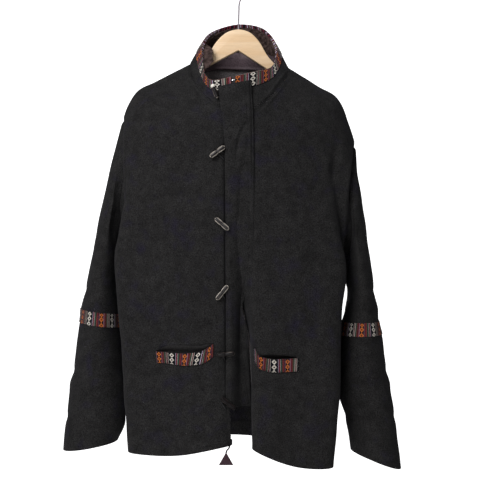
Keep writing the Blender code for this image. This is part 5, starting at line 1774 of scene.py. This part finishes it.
class COAT_OT_bands(bpy.types.Operator):
    """Builds the woven bands round the collar and the sleeves"""

    bl_idname = "coat.bands"
    bl_label = "Woven Bands"

    def execute(self, context):
        panels = coat_panels()
        wool = context.scene.coat_sizes.wool / MM
        outer = self.over_edge(panels["collar"], wool, GAP + BAND)
        inner = self.over_edge(panels["collar"], wool, GAP)
        cloth = band_cloth(outer, ORANGE_AT["collar"], COLLAR_REPEAT, True)
        rim = cloth[-BAND_TURN_IN - BAND_OVER :]
        first, length = RIM_STRIPES
        rim[..., 0] = first + np.abs(rim[..., 0] % (2 * length) - length)
        rim[..., 1] = 0.0
        mesh = wall(outer, inner, False, BAND_ROUNDING, cloth)
        item = keep(add_object("trim_collar", mesh, woven_band()), "woven_band", "band_collar")
        hang(outer)
        first = RINGS_AT.index(BAND_RING) * RING_STEPS
        for side in ("left", "right"):
            panel = panels["sleeve_" + side]
            half = panel["grid"].shape[1] // 2
            rows = slice(first, first + RING_STEPS + 1)
            outer = np.roll(layer(panel, GAP + BAND, rows), half, axis=1)
            inner = np.roll(layer(panel, GAP, rows), half, axis=1)
            cloth = band_cloth(outer, ORANGE_AT["sleeve_" + side], REPEAT, False)
            mesh = wall(outer, inner, True, BAND_ROUNDING, cloth)
            item = add_object("trim_sleeve_" + side, mesh, woven_band())
            keep(item, "woven_band", "band_sleeve_" + side)
            hang(outer, True)
        return {"FINISHED"}

    def over_edge(self, collar, wool, off):
        """A grid `off` the collar's cloth: up its outside, over the top edge and down inside."""
        rows = slice(np.searchsorted(RISES, COLLAR_RISE_AT[2]), None)
        outside = layer(collar, off, rows)
        inside = layer(collar, -wool - off)[: -BAND_TURN_IN - 1 : -1]
        up = collar["grid"][-1] - collar["grid"][-2]
        up *= off / np.linalg.norm(up, axis=1)[:, None]
        levels = np.linspace(off * BAND_EDGE, -wool - off * BAND_EDGE, BAND_OVER)
        top = [layer(collar, level, slice(-1, None))[0] + up for level in levels]
        return np.concatenate([outside, top, inside])


class COAT_OT_pockets(bpy.types.Operator):
    """Builds each pocket's bag and the woven band along its mouth"""

    bl_idname = "coat.pockets"
    bl_label = "Pockets"

    def execute(self, context):
        for side in MOUTHS:
            self.make_band(side)
            self.make_bag(side, context.scene.coat_sizes.wool / MM)
        return {"FINISHED"}

    def make_band(self, side):
        """The woven band under a mouth, a little fuller in its middle."""
        down, wide = POCKET_BAND_STEPS
        inner = band_rows(side, np.linspace(0, 1, down), wide, BAND_CLEAR)
        outer = inner.copy()
        crown = BAND_CROWN * np.sin(math.pi * np.linspace(0, 1, down)) ** 0.5
        outer[..., 1] -= BAND + crown[:, None]
        cloth = band_cloth(outer, ORANGE_AT["pocket_" + side], POCKET_REPEAT[side], False)
        mesh = wall(outer, inner, False, BAND_ROUNDING, cloth)
        item = add_object("trim_pocket_" + side, mesh, woven_band())
        keep(item, "woven_band", "band_pocket_" + side)
        hang(outer)

    def make_bag(self, side, wool):
        """The back layer of a pocket's bag, which hangs from above the mouth."""
        tree = front_surface(side)
        lip, opening = lips(side, BAG_LIP_STEPS)
        bag = []
        for across in np.linspace(0, 1, BAG_STEPS):
            x = lip[0, 0] + (lip[-1, 0] - lip[0, 0]) * across
            top = np.interp(x, lip[:, 0], lip[:, 1] + opening) + BAG_ABOVE
            column = []
            for down in np.linspace(0, 1, BAG_STEPS):
                z = top - BAG_HEIGHT * down
                deep = self.fullness(across) * self.fullness(down**BAG_ROUND)
                column.append((x, depth_at(tree, x, z) + wool + BAG_CLEAR + BAG_DEPTH * deep, z))
            bag.append(column)
        bag = np.array(bag)
        mesh = wall(bag, bag + np.array([0, POCKET_CLOTH, 0]))
        item = add_object("bag_" + side, mesh, lining_twill("pocket_twill", BAG_TINT))
        keep(item, "lining", "pocket_" + side)
        hang(bag)

    def fullness(self, share):
        """How full a bag is at a share of its width or height: 0 at both ends and 1 between."""
        return math.sin(math.pi * share) ** BAG_ROUND if 0 < share < 1 else 0.0


def edge_strip(panel, rows, column, inward, wool):
    """A line behind a panel's free edge, and unit vectors into the panel and out of its cloth."""
    edge = layer(panel, 0.0)[rows, column]
    beside = layer(panel, 0.0)[rows, column + inward]
    across = (beside - edge) / np.linalg.norm(beside - edge, axis=1)[:, None]
    facing = panel["normals"][rows, column]
    return edge - facing * (wool + LYING_GAP), across, facing


def block(size, rounding, segments=2):
    """A box with rounded edges, about the origin."""
    mesh = bmesh.new()
    bmesh.ops.create_cube(mesh, size=1.0)
    bmesh.ops.scale(mesh, vec=size, verts=mesh.verts)
    bevel(mesh, mesh.edges[:], rounding, segments)
    return mesh


class COAT_OT_zip(bpy.types.Operator):
    """Builds both halves of the zip with their teeth, the slider, its pull cord and the tag"""

    bl_idname = "coat.zip"
    bl_label = "Zip"

    def execute(self, context):
        sizes = context.scene.coat_sizes
        wool = sizes.wool / MM
        panels = coat_panels()
        collar_rows = np.arange(len(RISES) - 1, 0, -1)
        front_rows = np.arange(NECK_ROW, len(LEVELS))
        steel = plated_metal(*ZIP_METAL)
        bright = plated_metal(*STOP_METAL)
        for side, column, inward in (("left", 0, 1), ("right", -1, -1)):
            high = edge_strip(panels["collar"], collar_rows, column, inward, wool)
            low = edge_strip(panels["front_" + side], front_rows, 0, 1, wool)
            start, across, facing = (np.concatenate(pair) for pair in zip(high, low))
            total = lengths_along(start)[-1]
            kept = np.flatnonzero(lengths_along(start) <= total - ZIP_ENDS_ABOVE)
            start, across, facing = start[kept], across[kept], facing[kept]
            outer = np.stack([start + across * reach for reach in TAPE_REACH], axis=1)
            inner = outer - facing[:, None] * ZIP_TAPE
            item = add_object("zip_tape_" + side, wall(outer, inner), zip_tape())
            keep(item, "zip_metal", "zip_" + side)
            hang(outer)

            far = lengths_along(start)
            tooth = as_data("tooth", block(TOOTH, 0.35, segments=1))
            frames = []
            for spot in np.arange(TEETH_BELOW, far[-1], sizes.tooth / MM):
                at, ahead = (point_at(spot + step, far, start) for step in (0.0, 1.0))
                lean, out = (point_at(spot, far, ways) for ways in (across, facing))
                point = at - lean * TEETH_OUT - out * ZIP_TAPE / 2
                frames.append(frame_at(point, ahead - at, out))
            keep(add_object("zip_teeth_" + side, scatter(tooth, frames), steel), "zip_metal")
            stop = as_data("stop", block(STOP, 0.7))
            at, ahead = (point_at(STOPS_BELOW + step, far, start) for step in (0.0, 1.0))
            point = at - across[0] * TEETH_OUT - facing[0] * ZIP_TAPE / 2
            frames = [frame_at(point, ahead - at, facing[0])]
            keep(add_object("zip_stop_" + side, scatter(stop, frames), bright), "zip_metal")

        self.make_slider(steel)
        self.make_pull()
        return {"FINISHED"}

    def make_slider(self, steel):
        """The slider: two plates, a post between them and a bridge for the cord."""
        mesh = bmesh.new()
        for size, rounding, place in SLIDER_BLOCKS:
            shape = block(size, rounding)
            bmesh.ops.translate(shape, vec=np.add(SLIDER_AT, place), verts=shape.verts)
            mesh.from_mesh(as_data("plate", shape))
        keep(add_object("slider", mesh, steel), "zip_metal", "zip_slider")

    def make_pull(self):
        """The short cord from the slider and the cloth tag that it ends in."""
        route = np.array(PULL_ROUTE, float)
        cord = tube("pull_cord", drawn(route, PULL_STEPS), PULL_CORD, waxed_cord())
        keep(cord, "cord", "zip_cord")
        x, y, z = route[-1] - np.array([0, 0, 2 * GAP])
        rows = []
        for down in np.linspace(0, 1, PULL_STEPS):
            half = TAG_TIP + (TAG_WIDTH / 2 - TAG_TIP) * down
            front = y - TAG_CLOTH / 2
            lift = TAG_CURL * math.sin(math.pi * down)
            rows.append([
                (x + half * t, front - lift * (1 - t * t), z - TAG_HEIGHT * down)
                for t in np.linspace(-1, 1, PULL_STEPS)
            ])
        outer = np.array(rows)
        inner = outer + np.array([0, TAG_CLOTH, 0])
        item = add_object("tag", wall(outer, inner, False, TAG_ROUNDING), tag_canvas())
        keep(item, "tag_cloth", "zip_tag")
        hang(outer)


def flap_edge(z):
    """Where the flap's free edge is at a height."""
    c = table(FLAP, FLAP_COLUMNS)
    return np.interp(-z, -c["free_z"], c["free_x"])


def loop_route(tree, middle, below):
    """Points of a loop: out of the flap's edge, round under the toggle's middle, and back."""
    x, z = middle
    x = min(x, flap_edge(z) - LOOP_REACH)
    heights = (z - below + LOOP_SPREAD, z - below - LOOP_SPREAD)
    ends = [(flap_edge(height) - LOOP_CLEAR, height) for height in heights]
    plan = [ends[0], *((x + right, z + up) for right, up in LOOP_BENDS), ends[1]]
    clear = LOOP_CORD / 2 + LYING_GAP
    return [(a, depth_at(tree, a, b) - clear, b) for a, b in drawn(plan, LOOP_STEPS)]


def toggle_frame(node):
    """A frame at a toggle's middle, with X along it and Z towards the front, from its solid."""
    points = np.array([vertex.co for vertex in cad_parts[node].data.vertices]) / MM
    middle = (points.max(axis=0) + points.min(axis=0)) / 2
    axis = np.linalg.svd(points - points.mean(axis=0), full_matrices=False)[2][0]
    if axis[0] < 0:
        axis = -axis
    return frame_at(middle, axis, (0, -1, 0))


def toggle_profile(ribs):
    """Points of a toggle's half section as (along, radius): a barrel with a waist, or a ribbed one."""
    along = np.linspace(-TOGGLE_LENGTH / 2, TOGGLE_LENGTH / 2, PROFILE_STEPS)
    if ribs:
        radius = np.interp(along, *zip(*BALL_PROFILE))
        inside = smooth_step((along - RIBS_AT[0]) / RIB_SOFT)
        inside *= smooth_step((RIBS_AT[1] - along) / RIB_SOFT)
        radius -= RIB_DEPTH * inside * (0.5 + 0.5 * np.cos(along * 2 * math.pi / RIB_PITCH))
    else:
        radius = np.interp(np.abs(along), *zip(*TOGGLE_PROFILE))
    smooth = np.convolve(np.pad(radius, 2, mode="edge"), np.ones(5) / 5, mode="valid")
    end = np.sqrt(np.clip(1 - (np.abs(along) / (TOGGLE_LENGTH / 2)) ** END_POWER, 0, 1))
    return list(zip(along, np.maximum(smooth * end, 0.0)))


class COAT_OT_toggles(bpy.types.Operator):
    """Builds the horn toggles and the cord loops that hold them"""

    bl_idname = "coat.toggles"
    bl_label = "Toggles"

    def execute(self, context):
        pieces = ("wool_front_left", "wool_collar", "trim_collar")
        beneath = surface([bpy.data.objects[name] for name in pieces])
        for number, row in enumerate(TOGGLES, 1):
            left_x, left_z, right_x, right_z, below, pale = row
            middle = np.array([(left_x + right_x) / 2, (left_z + right_z) / 2])
            route = loop_route(beneath, middle, below)
            loop = tube(f"loop_{number}", route, LOOP_CORD, waxed_cord())
            keep(loop, "cord", f"toggle_loop_{number}")
            mesh = turned(toggle_profile(number == 1), TOGGLE_SIDES)
            woven = mesh.verts.layers.float_vector.new("cloth")
            for vertex in mesh.verts:
                vertex[woven] = vertex.co + Vector((number * TOGGLE_SPACING, 0, 0))
            turn = toggle_frame(f"toggle_{number}")
            bmesh.ops.transform(mesh, matrix=turn, verts=mesh.verts)
            # The horn's pale rim is a painted highlight, and a low `pale` paints the toggle darker as
            # painted shade.
            item = add_object(f"horn_{number}", mesh, polished_horn(pale), angle=40)
            keep(item, "horn", f"toggle_{number}")
        return {"FINISHED"}


def down_from(panel, depth, from_end=False):
    """Points and normals across a panel, `depth` down its cloth from its first row or up from its end."""
    grid = layer(panel, STITCH_CLEAR)
    facing = panel["normals"]
    if from_end:
        grid, facing = grid[::-1], facing[::-1]
    found = []
    for line, outs in zip(grid.transpose(1, 0, 2), facing.transpose(1, 0, 2)):
        far = lengths_along(line)
        found.append([point_at(depth, far, line), point_at(depth, far, outs)])
    return np.array(found).transpose(1, 0, 2)


class COAT_OT_stitching(bpy.types.Operator):
    """Sews the visible rows of stitches: flap, neck seam, hems, cuffs and pocket bands"""

    bl_idname = "coat.stitching"
    bl_label = "Stitching"

    def execute(self, context):
        panels = coat_panels()
        lines = {"flap": [], "neck": [], "hem": [], "cuffs": [], "pockets": []}

        grid, facing = flap_cloth()
        across = lengths_on(grid)[..., 0]
        for groove in FLAP_STITCHES:
            points = [point_at(far[-1] - groove, far, row) for row, far in zip(grid, across)]
            lines["flap"].append((np.array(points) - facing[:, -1] * FLAP_STITCH_SINK, facing[:, -1]))

        for name in ("front_left", "front_right"):
            panel = panels[name]
            grid = layer(panel, STITCH_CLEAR)[: NECK_ROW + 1]
            for depth in NECK_STITCHES:
                points = [point_at(depth, lengths_along(row), row) for row in grid]
                lines["neck"].append((np.array(points), panel["normals"][: NECK_ROW + 1, 0]))
        for depth in NECK_STITCHES:
            points, outs = down_from(panels["back"], depth)
            middle = slice(*np.searchsorted(BACK_PLACES, (NECK_LEFT, NECK_RIGHT)))
            lines["neck"].append((points[middle], outs[middle]))
        for name in HEMMED:
            lines["hem"].append(down_from(panels[name], HEM_STITCH, True))
            for depth in INNER_HEM_STITCHES:
                points, outs = down_from(panels[name], depth, True)
                inside = context.scene.coat_sizes.wool / MM + HEM_TURN - INNER_STITCH_SINK
                lines["hem"].append((points - outs * inside, -outs))
        for name in ("sleeve_left", "sleeve_right"):
            points, outs = down_from(panels[name], HEM_STITCH, True)
            lines["cuffs"].append((np.vstack([points, points[:1]]), np.vstack([outs, outs[:1]])))
        for side in MOUTHS:
            for points in band_rows(side, BAND_STITCHES, BAND_STITCH_STEPS, BAND_CLEAR + BAND + GAP):
                lines["pockets"].append((points, np.tile((0.0, -1.0, 0.0), (len(points), 1))))

        stitch = stitch_shape()
        for name, drawn in lines.items():
            frames = [one for points, outs in drawn for one in stitches_along(points, outs)]
            item = add_object("stitches_" + name, scatter(stitch, frames), sewing_thread(), angle=80)
            keep(item, "cord")
        return {"FINISHED"}


class COAT_OT_hanger(bpy.types.Operator):
    """Builds the wooden hanger and its wire hook"""

    bl_idname = "coat.hanger"
    bl_label = "Hanger"

    def execute(self, context):
        outline = np.array(HANGER_RIGHT[-1:] + HANGER_LEFT + HANGER_RIGHT, float)
        last = len(outline) - 1
        smooth = curve(outline, np.linspace(0, last, HANGER_STEPS * last + 1))[:-1]
        mesh = slab(smooth, -HANGER_THICKNESS / 2, HANGER_THICKNESS)
        rims = [edge for edge in mesh.edges if abs(edge.verts[0].co.y - edge.verts[1].co.y) < MERGE]
        bevel(mesh, rims, HANGER_ROUNDING, segments=4)
        keep(add_object("wood", mesh, lacquered_beech(), angle=35), "beech", "hanger")

        circle = HOOK_RADIUS + WIRE / 2
        top = HANGER_RIGHT[0][1]
        route = [(x, 0.0, top + up) for x, up in HOOK_NECK]
        for turn in HOOK_TURNS:
            angle = math.radians(turn)
            route.append((circle * math.cos(angle), 0.0, circle * math.sin(angle) - HOOK_RADIUS))
        route = np.array(route)
        points = curve(route, np.linspace(0, len(route) - 1, HOOK_STEPS))
        keep(tube("wire_hook", points, WIRE, plated_metal(*PLATED_WIRE), sides=20), "steel_wire", "hook")
        return {"FINISHED"}


def add_light(name, place, target, size, power):
    """A soft square light that looks at a target."""
    lamp = bpy.data.lights.new(name, "AREA")
    lamp.size = size
    lamp.energy = power
    item = link(name, lamp)
    way = Vector(target) - Vector(place)
    item.location = place
    item.rotation_euler = way.to_track_quat("-Z", "Y").to_euler()


class COAT_OT_stage(bpy.types.Operator):
    """Sets the pale floor, the backdrop, the soft lights and the camera"""

    bl_idname = "coat.stage"
    bl_label = "Stage"

    def execute(self, context):
        self.stage_sheet("floor", FLOOR_HALF, FLOOR_AT, 0, pale_floor())
        self.stage_sheet("backdrop", BACKDROP_HALF, BACKDROP_AT, 90, lit_backdrop())
        world = bpy.data.worlds.new("studio")
        world.use_nodes = True
        background = world.node_tree.nodes["Background"]
        background.inputs["Color"].default_value = (1.0, 1.0, 1.0, 1.0)
        background.inputs["Strength"].default_value = WORLD_LIGHT
        context.scene.world = world
        context.scene.view_settings.view_transform = "Standard"
        for light in LIGHTS:
            add_light(*light)
        lens = bpy.data.cameras.new("camera")
        lens.lens = CAMERA_LENS
        lens.sensor_width = 36.0
        camera = link("camera", lens)
        camera.location = CAMERA_AT
        camera.rotation_euler = (math.radians(90), 0, 0)
        context.scene.camera = camera
        return {"FINISHED"}

    def stage_sheet(self, name, half, place, lean, material):
        """A square sheet of the stage, leaning back by some degrees from flat."""
        mesh = bmesh.new()
        turn = Matrix.Rotation(math.radians(lean), 4, "X")
        bmesh.ops.create_grid(mesh, x_segments=8, y_segments=8, size=half / MM, matrix=turn)
        bmesh.ops.translate(mesh, vec=Vector(place) / MM, verts=mesh.verts)
        return add_object(name, mesh, material)


class COAT_PT_panel(bpy.types.Panel):
    """Lists the coat's steps and settings"""

    bl_label = "Duffle Coat"
    bl_idname = "COAT_PT_panel"
    bl_space_type = "VIEW_3D"
    bl_region_type = "UI"
    bl_category = "Coat"

    def draw(self, context):
        layout = self.layout
        for step in STEPS:
            layout.operator(step.bl_idname)
        for settings in (context.scene.coat_sizes, context.scene.coat_colours):
            for name in settings.__annotations__:
                layout.prop(settings, name)


STEPS = (
    COAT_OT_stage, COAT_OT_wool, COAT_OT_flap, COAT_OT_linings, COAT_OT_bands, COAT_OT_pockets,
    COAT_OT_zip, COAT_OT_toggles, COAT_OT_stitching, COAT_OT_hanger,
)
CLASSES = (CoatSizes, CoatColours, *STEPS, COAT_PT_panel)


def register():
    for one in CLASSES:
        bpy.utils.register_class(one)
    bpy.types.Scene.coat_sizes = PointerProperty(type=CoatSizes)
    bpy.types.Scene.coat_colours = PointerProperty(type=CoatColours)


def unregister():
    del bpy.types.Scene.coat_colours
    del bpy.types.Scene.coat_sizes
    for one in reversed(CLASSES):
        bpy.utils.unregister_class(one)


def main():
    register()
    for step in STEPS:
        group, action = step.bl_idname.split(".")
        getattr(getattr(bpy.ops, group), action)()


if __name__ == "__main__":
    main()
